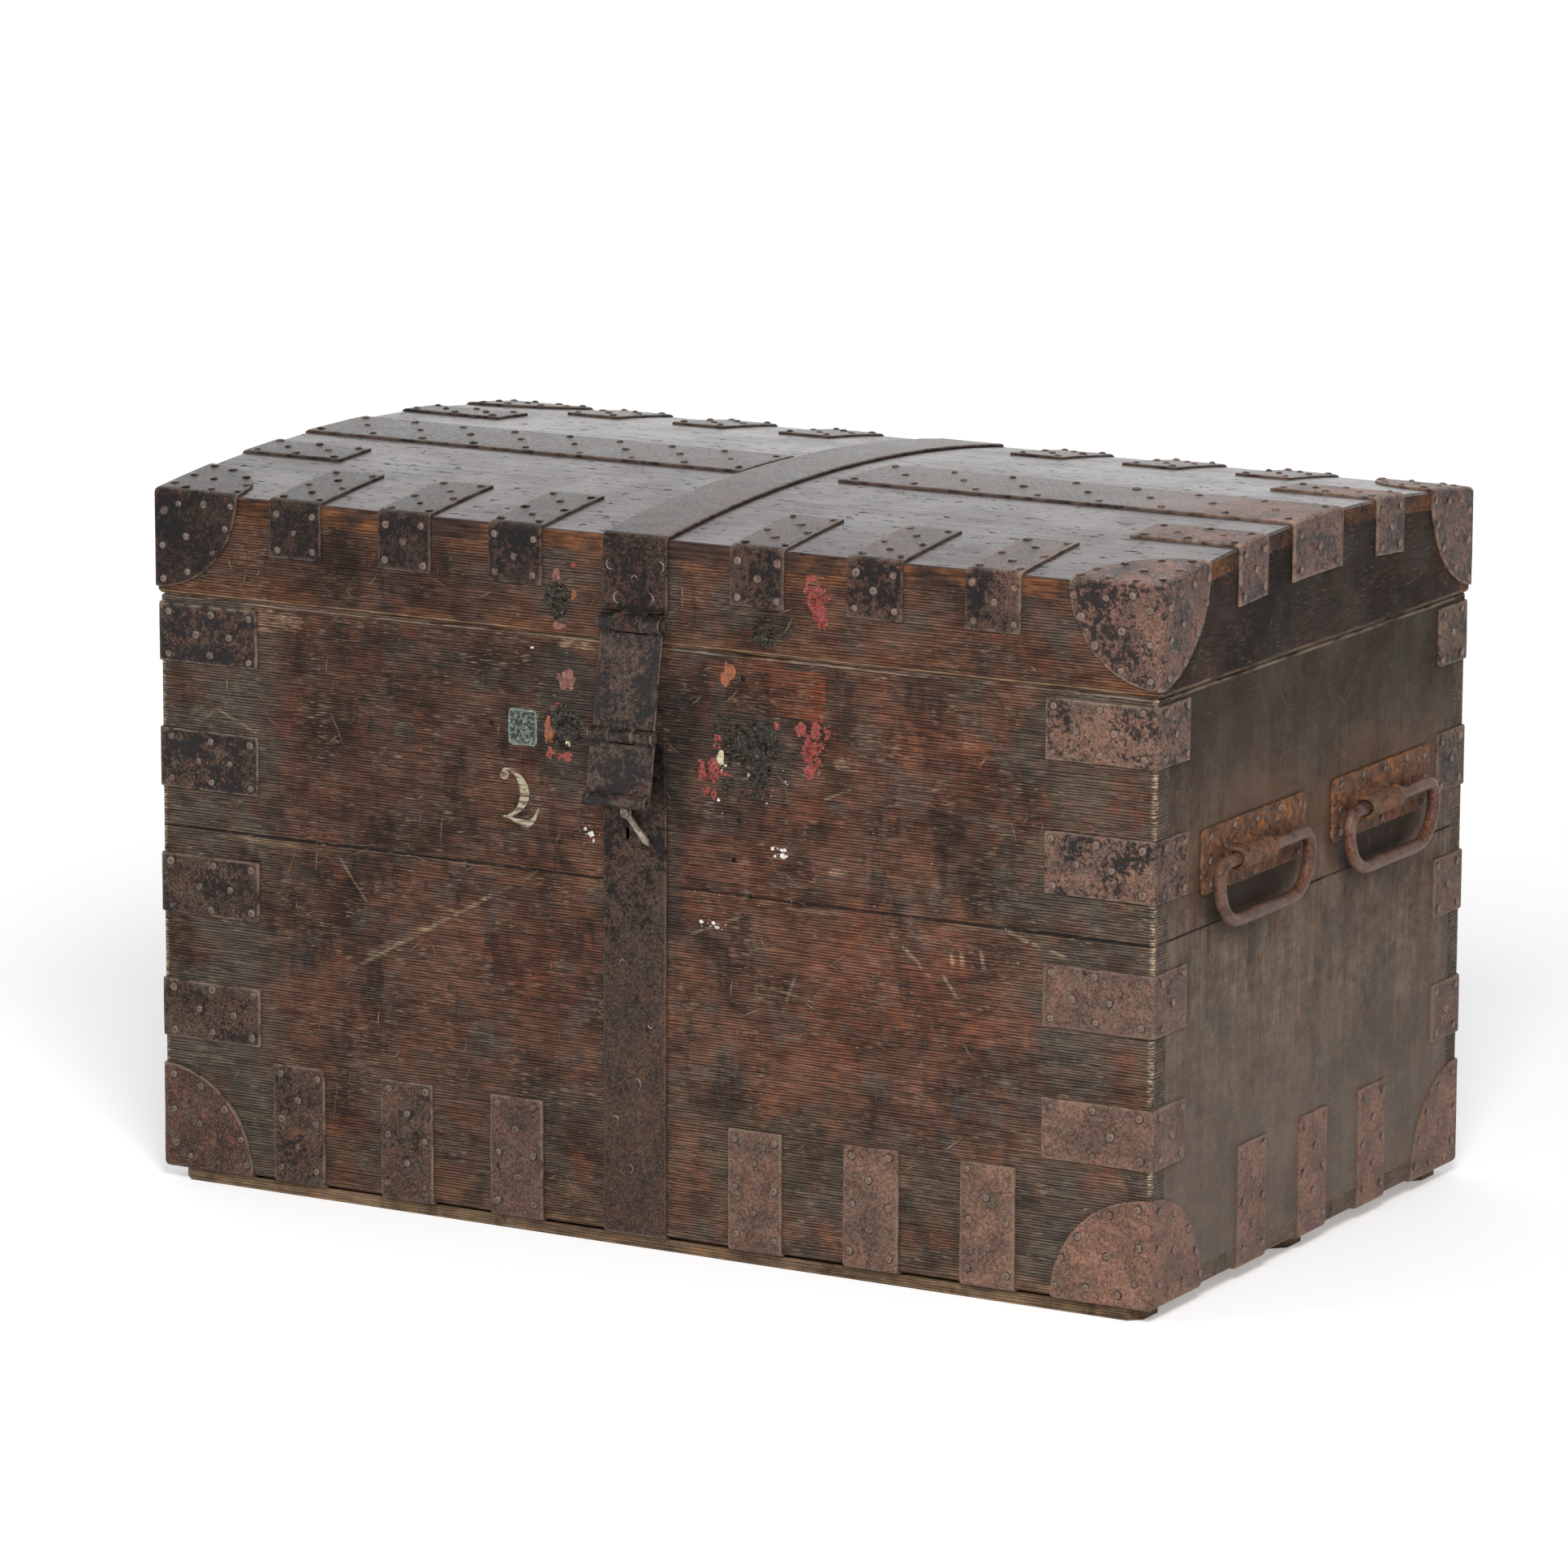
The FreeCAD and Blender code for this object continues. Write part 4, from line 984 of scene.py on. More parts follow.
def make_bottom_straps(m):
    """Angle straps from each wall to under the bottom."""
    for run, names, material, seed in ((0, FRONT_BACK, "iron_case", 11), (1, LEFT_RIGHT, "iron_low", 21)):
        for side, name in names:
            node = "case_" + name + "_bottom_straps"
            wall = side * (half_length if run else half_depth)
            straps = []
            for low, high in parts_of(node):
                s = (low[run] + high[run]) / 2
                inner = (low if side > 0 else high)[1 - run]
                line = [wall_point(run, s, wall, high.z), wall_point(run, s, wall, case_bottom),
                        wall_point(run, s, inner, case_bottom)]
                pattern = staggered(6.5 * mm, 79 * mm, nail_aside)
                pattern += pair(high.z - case_bottom + 22 * mm, nail_aside)
                straps.append((line, (X, Y)[run], high[run] - low[run], pattern))
            group(name + "_bottom_straps", node, "case", m[material], "rusty_iron", straps, case_skin, seed + side,
                  m["iron_nail"])


def make_edge_straps(m):
    """Angle straps round the upright edges of the case."""
    aside = 16.5 * mm
    for side_x, side_y, name in CORNERS:
        node = "case_" + name + "_edge_straps"
        edge_x, edge_y = side_x * half_length, side_y * half_depth
        straps = []
        for low, high in parts_of(node):
            z = (low.z + high.z) / 2
            x = low.x if side_x > 0 else high.x
            y = high.y if side_y < 0 else low.y
            line = [Vector((x, edge_y, z)), Vector((edge_x, edge_y, z)), Vector((edge_x, y, z))]
            leg, end = abs(edge_x - x), abs(y - edge_y)
            pattern = pair(6.5 * mm, aside) + pair(0.48 * leg, aside) + [(0.28 * leg, 0.0), (0.62 * leg, 0.0)]
            pattern += pair(leg - 9 * mm, aside) + pair(leg + 10 * mm, aside) + [(leg + 0.52 * end, 0.0)]
            pattern += pair(leg + end - 7 * mm, aside)
            straps.append((line, Z, high.z - low.z, pattern))
        group(name + "_edge_straps", node, "case", m["iron_case"], "black_iron", straps, case_skin,
              31 + side_x + 3 * side_y, m["iron_nail"])


def lid_strap(side, run, low, high):
    """Line, direction across, width, leg and drop of a strap over an edge of the lid that runs along X or Y."""
    s = (low[run] + high[run]) / 2
    inner = (low if side > 0 else high)[1 - run]
    edge = side * (lid_half_length if run else half_depth)
    bottom = low.z - (arch(s) if run else 0.0)
    line = [wall_point(run, s, inner, lid_edge), wall_point(run, s, edge, lid_edge),
            wall_point(run, s, edge, bottom)]
    return line, (X, Y)[run], high[run] - low[run], abs(inner - edge), lid_edge - bottom


def make_lid_straps(m):
    """Straps over the lid's edges, and a long one from each end along its crown."""

    def lid_group(name, node, straps, seed):
        group("lid_" + name, node, "lid", m["iron_lid"], "black_iron", straps, lid_skin, seed, m["iron_nail"])

    for run, names, node_end, name_end, seed in ((0, FRONT_BACK, "_straps", "_edge_straps", 41),
                                                 (1, LEFT_RIGHT, "_end_straps", "_tie_straps", 51)):
        for side, name in names:
            node = "lid_" + name + node_end
            straps = []
            for low, high in parts_of(node):
                line, across, width, leg, drop = lid_strap(side, run, low, high)
                if run:
                    pattern = staggered(8 * mm, leg - 8 * mm, nail_aside)
                else:
                    pattern = pair(7 * mm, nail_aside) + [(26 * mm, 0.0)] + pair(45 * mm, nail_aside)
                    pattern += [(63 * mm, 0.0)] + pair(leg - 8 * mm, nail_aside)
                straps.append((line, across, width, pattern + over_edge(leg, drop, nail_aside)))
            lid_group(name + name_end, node, straps, seed + side)
            if run:
                node = "lid_" + name + "_long_strap"
                line, across, width, leg, drop = lid_strap(side, run, *[Vector(v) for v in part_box(node)])
                lid_group(name + "_crown_strap", node, [(line, across, width, crown_nails(leg, drop))], 61 + side)


def crown_nails(leg, drop):
    """Nails of a long strap: pairs with a single one between two of them."""
    aside = 30 * mm
    rows = int((leg - 12 * mm) / (46 * mm))
    pitch = (leg - 16 * mm) / rows
    pattern = []
    for i in range(rows):
        pattern += pair(8 * mm + i * pitch, aside) + [(8 * mm + (i + 0.5) * pitch, 0.0)]
    return pattern + pair(leg - 8 * mm, aside) + over_edge(leg, drop, aside, 9 * mm)


# Nails of one lobe of a bracket: millimetres along its two edges, for a bracket of the full reach
LOBE_NAILS = ((10, 73), (34, 66), (57, 49), (71, 29), (76, 9), (9, 44), (33, 36), (50, 9), (25, 8), (10, 17))
lobe_full_reach = 81 * mm
lobe_scatter = 1.5


def make_corners(m):
    """The eight three-lobed brackets with their nails."""
    for side_x, side_y, name in CORNERS:
        corner = Vector((side_x * half_length, side_y * half_depth, case_bottom))
        bracket("case", name, corner, Vector((-side_x, -side_y, 1)), case_skin, "iron_low", "rusty_iron", m)
        corner = Vector((side_x * lid_half_length, side_y * half_depth, lid_edge))
        bracket("lid", name, corner, Vector((-side_x, -side_y, -1)), lid_skin, "iron_lid", "black_iron", m)


def bracket(body, name, corner, inward, skin, material, slot, m):
    """Replaces a bracket's node. It reaches from the corner along the signs of inward."""
    node = body + "_" + name + "_corner"
    low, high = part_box(node)
    reach = abs(high[0] - low[0]) - iron
    seed = 71 + inward.x + 3 * inward.y + 9 * inward.z
    points, faces = lobe_shell(corner, inward, reach, skin, seed)
    piece = mesh_object(node + "_bracket", points, faces, m[material], body)
    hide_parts(node)
    nails = Nails(int(seed * 10))
    axes = [X * inward.x, Y * inward.y, Z * inward.z]
    scale = reach / lobe_full_reach
    for first, second in ((0, 2), (1, 2), (0, 1)):
        for place in LOBE_NAILS:
            u, v = [(value * scale + nails.random.uniform(-lobe_scatter, lobe_scatter)) * mm for value in place]
            nails.add(*skin(corner + axes[first] * u + axes[second] * v, plate))
    nails.make(node + "_nails", m["iron_nail"], body, slot)


# Name, kind and settings of a modifier that joins the CAD mesh's faces
WELD = ("weld", "WELD", dict(merge_threshold=0.01 * mm))


def cad_piece(node, material, modifiers=()):
    """Gives a CAD node that stays its material and its modifiers."""
    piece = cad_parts[node]
    piece.data.materials.clear()
    piece.data.materials.append(material)
    for name, kind, settings in modifiers:
        modifier = piece.modifiers.new(name, kind)
        for key, value in settings.items():
            setattr(modifier, key, value)


def forged(node, material, voxel, wave, wave_length):
    """A denser surface that the hammer has left uneven. Sizes are in millimetres."""
    texture = bpy.data.textures.new(node + "_hammer", "CLOUDS")
    texture.noise_scale = wave_length * mm
    texture.noise_depth = 2
    dense = dict(mode="VOXEL", voxel_size=voxel * mm, use_smooth_shade=True)
    hammer = dict(texture=texture, texture_coords="LOCAL", strength=wave * mm, mid_level=0.5)
    cad_piece(node, material, [WELD, ("remesh", "REMESH", dense), ("hammer", "DISPLACE", hammer)])


def crisp(node, material, width):
    """Sharp edges broken by a width in millimetres."""
    bevel = dict(width=width * mm, segments=2, limit_method="ANGLE", angle_limit=math.radians(35),
                 harden_normals=False)
    cad_piece(node, material, [WELD, ("edges", "BEVEL", bevel)])


# CAD nodes that stay, and the material of each
WOOD_NODES = {
    "oak_front": ["case_" + side + "_" + row + "_board" for row in ("upper", "lower") for _, side in FRONT_BACK],
    "oak_end": ["case_" + side + "_" + row + "_board" for row in ("upper", "lower") for _, side in LEFT_RIGHT],
    "oak_lid_side": ["lid_front_rail", "lid_back_rail"],
    "oak_lid_end": ["lid_left_end", "lid_right_end"],
    "oak_top": ["lid_top_boards"],
    "oak_bottom": ["bottom_boards"],
    "oak_runner": ["bottom_runners"],
}
HANDLES = [side + "_" + place for _, side in LEFT_RIGHT for _, place in FRONT_BACK]
# Forged nodes: material, voxel, height and length of the hammer's waves in millimetres
FORGED_NODES = {
    "case_front_center_strap": ("iron_strap", 1.3, 0.5, 22),
    "case_back_center_strap": ("iron_strap", 1.6, 0.5, 22),
    "lid_center_strap": ("iron_lid", 1.4, 0.5, 22),
    "hasp_upper_leaf": ("iron_hasp", 0.8, 0.35, 12),
    "hasp_lower_leaf": ("iron_hasp", 0.8, 0.35, 12),
    **{"handle_plate_" + name: ("iron_plate", 1.1, 0.9, 9) for name in HANDLES},
}
# Nodes with sharp edges: material, width of the broken edge in millimetres
CRISP_NODES = {
    "hasp_pin": ("iron_hasp", 0.3), "hasp_lower_pin": ("iron_hasp", 0.3),
    "keyhole_cover": ("iron_grey", 0.3), "keyhole_cover_rivet": ("iron_grey", 0.3),
    "lock_case": ("iron_strap", 0.4), "lock_bolt": ("iron_strap", 0.4),
    "hinge_case_leaves": ("iron_case", 0.5), "hinge_lid_leaves": ("iron_case", 0.5), "hinge_pins": ("iron_case", 0.5),
}


def dress_cad(m):
    """Materials and modifiers of the CAD nodes that stay."""
    for material, nodes in WOOD_NODES.items():
        for node in nodes:
            cad_piece(node, m[material])
    for node, (material, *sizes) in FORGED_NODES.items():
        forged(node, m[material], *sizes)
    for node, (material, width) in CRISP_NODES.items():
        crisp(node, m[material], width)


def nails_on(node, body, slot, material, toward, places, seed):
    """Nails on a CAD node that stays, where rays from outside meet it squarely."""
    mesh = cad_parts[node].data
    tree = BVHTree.FromPolygons([v.co for v in mesh.vertices], [f.vertices for f in mesh.polygons])
    nails = Nails(seed)
    for place in places:
        hit, normal, _, _ = tree.ray_cast(place - toward, toward)
        if hit is not None and normal.dot(toward) < -0.9:
            nails.add(hit, normal)
    nails.make(node + "_nails", material, body, slot)


# Nails of a hinge leaf: height as a share of the leaf's, side of its middle line
LEAF_NAILS = ((0.12, -1), (0.12, 1), (0.4, 0), (0.66, -1), (0.66, 1))
# Nails of a handle's plate: shares of its width and height
PLATE_NAILS = ((0.08, 0.86), (0.3, 0.9), (0.52, 0.86), (0.74, 0.9), (0.93, 0.84), (0.07, 0.5), (0.93, 0.46),
               (0.08, 0.14), (0.5, 0.1), (0.92, 0.12))


def make_plate_nails(m):
    """Nails in the hinge leaves on the back and in the handles' plates."""
    for node, body, up in (("hinge_case_leaves", "case", 1), ("hinge_lid_leaves", "lid", -1)):
        places = []
        for low, high in parts_of(node):
            foot = low.z if up > 0 else high.z
            middle = (low.x + high.x) / 2
            for share, aside in LEAF_NAILS:
                places.append(Vector((middle + aside * 12 * mm, high.y, foot + up * share * (high.z - low.z))))
        nails_on(node, body, "worn_iron", m["iron_nail"], -Y, places, 61 + up)
    for name in HANDLES:
        node = "handle_plate_" + name
        side, place = name.split("_")
        out = 1 if side == "right" else -1
        low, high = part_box(node)
        x = high[0] if out > 0 else low[0]
        places = [Vector((x, low[1] + u * (high[1] - low[1]), low[2] + v * (high[2] - low[2])))
                  for u, v in PLATE_NAILS]
        nails_on(node, "case", "rusty_iron", m["iron_nail"], -X * out, places, 81 + out + len(place))


# Bails


bail_radius = 5 * mm
bail_sides = 16
bail_top_bend = 12 * mm
bail_bottom_bend = 31 * mm
bail_step = 4 * mm
barrel_shift = -20 * mm
pintle_gap = 12 * mm


def bail_route(node, plate_node):
    """Middle line of a bail from one pintle's end to the other's, in the plane of its swing."""
    low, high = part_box(node)
    plate_low, plate_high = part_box(plate_node)
    y0, y1 = low[1] + bail_radius, high[1] - bail_radius
    bottom, top = low[2] + bail_radius, high[2] - bail_radius
    barrel = (plate_low[1] + plate_high[1]) / 2 + barrel_shift
    x = (low[0] + high[0]) / 2
    a, b = bail_top_bend, bail_bottom_bend
    route = [(barrel - pintle_gap / 2, top)]
    for y, z, radius, start in ((y0 + a, top - a, a, 90), (y0 + b, bottom + b, b, 180), (y1 - b, bottom + b, b, 270),
                                (y1 - a, top - a, a, 0)):
        turns = [math.radians(start + 90 * i / 8) for i in range(9)]
        route += [(y + radius * math.cos(t), z + radius * math.sin(t)) for t in turns]
    route.append((barrel + pintle_gap / 2, top))
    dense = []
    for (ya, za), (yb, zb) in zip(route, route[1:]):
        count = max(1, round(math.hypot(yb - ya, zb - za) / bail_step))
        dense += [(ya + (yb - ya) * i / count, za + (zb - za) * i / count) for i in range(count)]
    dense.append(route[-1])
    return [Vector((x, y, z)) for y, z in dense]


def make_bails(m):
    """The handles' bars: uneven, with a crust of rust on the lower bar."""
    sides = bail_sides
    for name in HANDLES:
        node = "bail_" + name
        route = bail_route(node, "handle_plate_" + name)
        away = Vector([len(word) for word in name.split("_")] + [0])
        points = []
        for i, middle in enumerate(route):
            way = (route[min(len(route) - 1, i + 1)] - route[max(0, i - 1)]).normalized()
            aside = way.cross(X).normalized()
            for k in range(sides):
                turn = 2 * math.pi * k / sides
                out = X * math.cos(turn) + aside * math.sin(turn)
                place = middle + out * bail_radius
                wave = noise.noise(place / (9 * mm) + away)
                crust = max(0.0, out.z) * clamp((route[0].z - middle.z) / bail_bottom_bend - 1.2, 0, 1)
                lump = crust * 0.16 * max(0.0, noise.noise(place / (2.6 * mm)) + 0.35)
                points.append(middle + out * (bail_radius * (0.965 + 0.07 * wave + lump)))
        faces = grid(0, len(route), sides, True)
        faces.append(tuple(reversed(range(sides))))
        faces.append(tuple(range(len(points) - sides, len(points))))
        piece = mesh_object(node + "_bar", points, faces, m["iron_bail"], node)
        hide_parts(node)


# Marks on the surfaces. Places and sizes in their tables are in millimetres, X and Z on the front.


def on_front(x, z, lift):
    return Vector((x, -half_depth - lift, z))


class Drops(Pile):
    """Irregular drops that lie on the front."""

    def add(self, x, z, reach_x, reach_z, height, ragged=0.3):
        """One drop: a thick ragged disc, sunk at its rim."""
        dice = self.random
        away = elsewhere(dice.uniform(0, 50))
        start = len(self.points)
        sides, rings = 18, 4
        self.points.append(on_front(x * mm, z * mm, height * mm))
        for ring in range(1, rings + 1):
            share = ring / rings
            for k in range(sides):
                turn = 2 * math.pi * k / sides
                way = Vector((math.cos(turn), math.sin(turn), 0))
                reach = share * (1 + 2 * ragged * noise.noise(way * 1.6 + away))
                lump = 0.75 + 0.9 * noise.noise(way * share * 2.5 + away)
                lift = height * lump * (1 - share ** 3) if ring < rings else -0.05
                self.points.append(on_front((x + reach_x * reach * way.x) * mm, (z + reach_z * reach * way.y) * mm,
                                            max(lift, -0.05) * mm))
        for k in range(sides):
            after = (k + 1) % sides
            self.faces.append((start, start + 1 + k, start + 1 + after))
            for ring in range(rings - 1):
                a = start + 1 + ring * sides
                self.faces.append((a + k, a + sides + k, a + sides + after, a + after))
        self.faces.append(tuple(start + 1 + (rings - 1) * sides + k for k in reversed(range(sides))))

    def splash(self, x, z, reach_x, reach_z, count, size, height):
        """Several drops at random inside an ellipse."""
        dice = self.random
        for _ in range(count):
            turn = dice.uniform(0, 2 * math.pi)
            share = math.sqrt(dice.random())
            drop = size * dice.uniform(0.5, 1.3)
            self.add(x + reach_x * share * math.cos(turn), z + reach_z * share * math.sin(turn),
                     drop * dice.uniform(0.7, 1.3), drop * dice.uniform(0.7, 1.3), height * dice.uniform(0.6, 1.3),
                     0.6)

    def make(self, name, material, body, slot):
        mesh_object(name, self.points, self.faces, material, body, 60)


# Each drop: x, z, reach along x, reach along z, height. Each splash: x, z, reaches, count, drop size, height.
CASE_REMAINS = {
    "wax_red": ([(51, 362, 4, 7.5, 1.6), (61, 365, 4.6, 8, 1.6), (64, 387, 3.2, 3.4, 1.2), (70, 362, 6, 2.2, 0.8),
                 (133, 400, 5, 5.5, 1.3), (145, 403, 3.8, 5, 1.3), (140, 369, 4.4, 5.5, 1.2), (113, 401, 2.6, 3, 1.2),
                 (-62, 361, 4.5, 3.4, 1.2), (-78, 360, 3.4, 2.4, 1.0)],
                [(143, 386, 7.5, 13, 60, 1.9, 0.8), (58, 347, 7, 3, 9, 1.5, 0.6), (154, 400, 3, 4, 6, 1.2, 0.5),
                 (57, 363, 9, 8, 26, 1.6, 0.9), (-67, 399, 6, 1.5, 8, 1.2, 0.6), (60, 372, 12, 14, 16, 1.0, 0.5),
                 (148, 388, 12, 20, 18, 0.7, 0.4), (-72, 362, 8, 3, 10, 1.5, 0.7)]),
    "wax_orange": ([(72, 435, 7, 8, 0.7), (-78, 380, 4.2, 9, 1.3)], [(-76, 371, 5, 12, 10, 1.6, 0.8)]),
    "wax_pink": ([(-63, 417, 8, 7.6, 1.3)], [(-63, 417, 8, 9, 8, 1.8, 0.9), (143, 382, 9, 14, 12, 1.4, 0.5)]),
    "wax_dark": ([(108, 392, 5, 9, 1.8)],
                 [(93, 381, 21, 17, 26, 5.0, 2.0), (93, 381, 24, 20, 40, 2.2, 2.2), (-62, 383, 11, 14, 16, 4.6, 2.0),
                  (-62, 383, 13, 16, 24, 2.0, 2.2), (104, 388, 9, 12, 10, 4.4, 2.4),
                  (88, 352, 22, 9, 34, 2.0, 1.1), (68, 395, 9, 13, 26, 1.6, 1.0), (86, 433, 2.6, 2.4, 3, 2.0, 0.6)]),
    "cream": ([(67, 373, 3, 6.2, 1.4), (-62, 371, 2.2, 4, 1.2)], [(66, 366, 6, 9, 6, 0.9, 0.7)]),
    "white": ([(91, 363, 1.8, 1.8, 1.2), (119, 311, 2.8, 1.6, 0.7), (119, 306.5, 3, 1.8, 0.7),
               (110, 311, 1.6, 1.4, 0.6), (112, 306, 1.3, 1, 0.5), (64, 248, 2.2, 1.2, 0.5), (61, 251, 1.6, 1.2, 0.5),
               (51, 251, 1.8, 1.6, 0.5), (-42, 306, 2.6, 2.6, 0.6), (-47, 309, 1.4, 1.6, 0.5),
               (-40, 301, 1.2, 1.4, 0.5), (65, 342, 1.2, 1.5, 0.5), (-92, 439, 1.6, 1.0, 0.4)],
              [(100, 362, 26, 20, 16, 0.45, 0.4), (60, 250, 14, 5, 7, 0.5, 0.3), (-45, 306, 9, 9, 8, 0.5, 0.3),
               (115, 309, 10, 6, 7, 0.5, 0.3), (-20, 330, 120, 90, 18, 0.4, 0.2),
               (180, 250, 140, 120, 14, 0.4, 0.2)]),
    "hole": ([(-127, 380, 2.2, 2.0, 0.1), (82, 329, 1.8, 2.6, 0.1), (78, 299, 2.4, 2.4, 0.1),
              (92, 274, 2.2, 2.0, 0.1), (85, 433, 2.2, 2.2, 0.9), (97, 414, 0.9, 0.9, 0.1)],
             [(84, 320, 12, 30, 8, 0.7, 0.1)]),
}
LID_REMAINS = {
    "wax_red": ([(141, 510, 5.6, 2.8, 1.0), (148, 484, 4.6, 6, 1.2), (-57, 503, 1.8, 2.2, 0.8)],
                [(147, 495, 8, 10, 44, 1.8, 0.7), (149, 484, 6, 7, 24, 1.8, 0.9), (140, 502, 6, 5, 12, 1.2, 0.5)]),
    "wax_orange": ([(-57, 481, 2.8, 3.8, 1.0)], []),
    "wax_pink": ([(-72, 494, 4.4, 4.4, 1.0), (-70, 457, 5, 2.8, 0.8)], []),
    "wax_dark": ([(102, 463, 5, 5, 1.6)], [(-71, 476, 8, 10, 16, 3.8, 1.8), (-71, 476, 11, 13, 20, 1.8, 1.8),
                                           (102, 467, 6, 7, 12, 4.0, 2.0), (102, 467, 9, 10, 20, 1.8, 2.0)]),
    "hole": ([(105, 466, 2.0, 1.8, 1.7)], []),
}


def make_remains(m):
    """Wax, residue, specks and old nail holes on the front."""
    for body, remains in (("case", CASE_REMAINS), ("lid", LID_REMAINS)):
        for i, (kind, (drops, splashes)) in enumerate(remains.items()):
            collected = Drops(100 + i)
            for drop in drops:
                collected.add(*drop)
            for splash in splashes:
                collected.splash(*splash)
            collected.make(body + "_" + kind, m[kind], body, "oak_" + body)


# The painted numeral: x and z as shares of its box, width as a share of the box's width
NUMERAL_LOW = Vector((-120.5 * mm, 0, 305.7 * mm))
NUMERAL_SIZE = Vector((34.6 * mm, 0, 41.8 * mm))
NUMERAL_STROKES = (
    ((0.10, 0.80, 0.02), (0.08, 0.86, 0.14), (0.13, 0.87, 0.20), (0.21, 0.87, 0.14), (0.24, 0.86, 0.03)),
    ((0.06, 0.90, 0.03), (0.14, 0.975, 0.05), (0.28, 0.98, 0.05), (0.42, 0.91, 0.09), (0.54, 0.80, 0.17),
     (0.61, 0.67, 0.22), (0.63, 0.54, 0.22), (0.58, 0.40, 0.19), (0.48, 0.29, 0.13), (0.34, 0.19, 0.08),
     (0.18, 0.135, 0.04), (0.08, 0.13, 0.02)),
    ((0.12, 0.145, 0.03), (0.27, 0.12, 0.06), (0.42, 0.08, 0.10), (0.60, 0.055, 0.14), (0.75, 0.065, 0.13),
     (0.86, 0.14, 0.09), (0.93, 0.25, 0.05), (0.98, 0.34, 0.02)),
)


def make_numeral(m):
    """A hand-painted 2, three brush strokes."""
    across = (-1, -0.5, 0, 0.5, 1)
    points, faces = [], []
    for stroke in NUMERAL_STROKES:
        fine = smooth_line([Vector(knot) for knot in stroke], 6)
        faces += grid(len(points), len(fine), len(across))
        for i, knot in enumerate(fine):
            before, after = fine[max(0, i - 1)], fine[min(len(fine) - 1, i + 1)]
            way = Vector(((after.x - before.x) * NUMERAL_SIZE.x, (after.y - before.y) * NUMERAL_SIZE.z)).normalized()
            x = NUMERAL_LOW.x + knot.x * NUMERAL_SIZE.x
            z = NUMERAL_LOW.z + knot.y * NUMERAL_SIZE.z
            half = knot.z * NUMERAL_SIZE.x / 2
            for side in across:
                ragged = 1 + 0.16 * noise.noise(Vector((i * 0.6, side * 9, len(points) * 0.01)))
                points.append(on_front(x - way.y * half * side * ragged, z + way.x * half * side * ragged,
                                       (0.16 if abs(side) < 1 else 0.06) * mm))
    mesh_object("painted_numeral", points, faces, m["paint_cream"], "case")


def smooth_line(knots, steps):
    """Points along a smooth line through the knots."""
    padded = [knots[0]] + knots + [knots[-1]]
    line = []
    for a, b, c, d in zip(padded, padded[1:], padded[2:], padded[3:]):
        for k in range(steps):
            t = k / steps
            line.append(0.5 * (2 * b + (c - a) * t + (2 * a - 5 * b + 4 * c - d) * t * t
                               + (3 * b - a - 3 * c + d) * t ** 3))
    line.append(knots[-1])
    return line


def make_label(m):
    """Remains of a small paper label with rounded corners."""
    points = []
    steps = 14
    for i in range(steps + 1):
        for j in range(steps + 1):
            u = 2 * i / steps - 1
            v = 2 * j / steps - 1
            shrink = 1 - 0.3 * max(0.0, abs(u) + abs(v) - 1.7)
            place = Vector((label_place[0] + u * shrink * label_half[0], 0,
                            label_place[1] + v * shrink * label_half[1]))
            place += noise.noise_vector(place / (6 * mm)) * (0.5 * mm)
            crease = 0.25 + 0.25 * noise.noise(place / (4 * mm))
            rim = max(abs(u), abs(v)) == 1
            points.append(on_front(place.x, place.z, -0.05 * mm if rim else crease * mm))
    mesh_object("label_remains", points, grid(0, steps + 1, steps + 1), m["label"], "case")


def sliver(points, faces, skin, start, way, length, width, bend):
    """One fine scratch with pointed ends, laid on a block."""
    across = skin(start, 0.0)[1].cross(way).normalized()
    steps = 5
    faces += grid(len(points), steps + 1, 2)
    for i in range(steps + 1):
        swell = math.sin(math.pi * i / steps)
        middle = start + way * (length * (i / steps)) + across * (bend * swell)
        half = width * max(0.08, swell) / 2
        for side in (-1, 1):
            points.append(skin(middle + across * (half * side), 0.12 * mm)[0])


# Scratched walls of each body: middle, way along, half length, way up, lowest and highest place, scratches.
# They keep 20 mm away from the ends.
scuff_x = half_length - 20 * mm
scuff_y = half_depth - 20 * mm
CASE_SCUFFS = [(Vector((0, side * half_depth, 0)), X, scuff_x, Z, 25 * mm, 440 * mm, 190) for side in (-1, 1)]
CASE_SCUFFS += [(Vector((side * half_length, 0, 0)), Y, scuff_y, Z, 25 * mm, 440 * mm, 90) for side in (-1, 1)]
LID_SCUFFS = [(Vector((0, side * half_depth, 0)), X, scuff_x, Z, 456 * mm, 520 * mm, 50) for side in (-1, 1)]
LID_SCUFFS += [(Vector((side * lid_half_length, 0, 0)), Y, scuff_y, Z, 456 * mm, 520 * mm, 30) for side in (-1, 1)]
LID_SCUFFS += [(Vector((0, 0, lid_edge)), X, scuff_x, Y, -scuff_y, scuff_y, 150)]


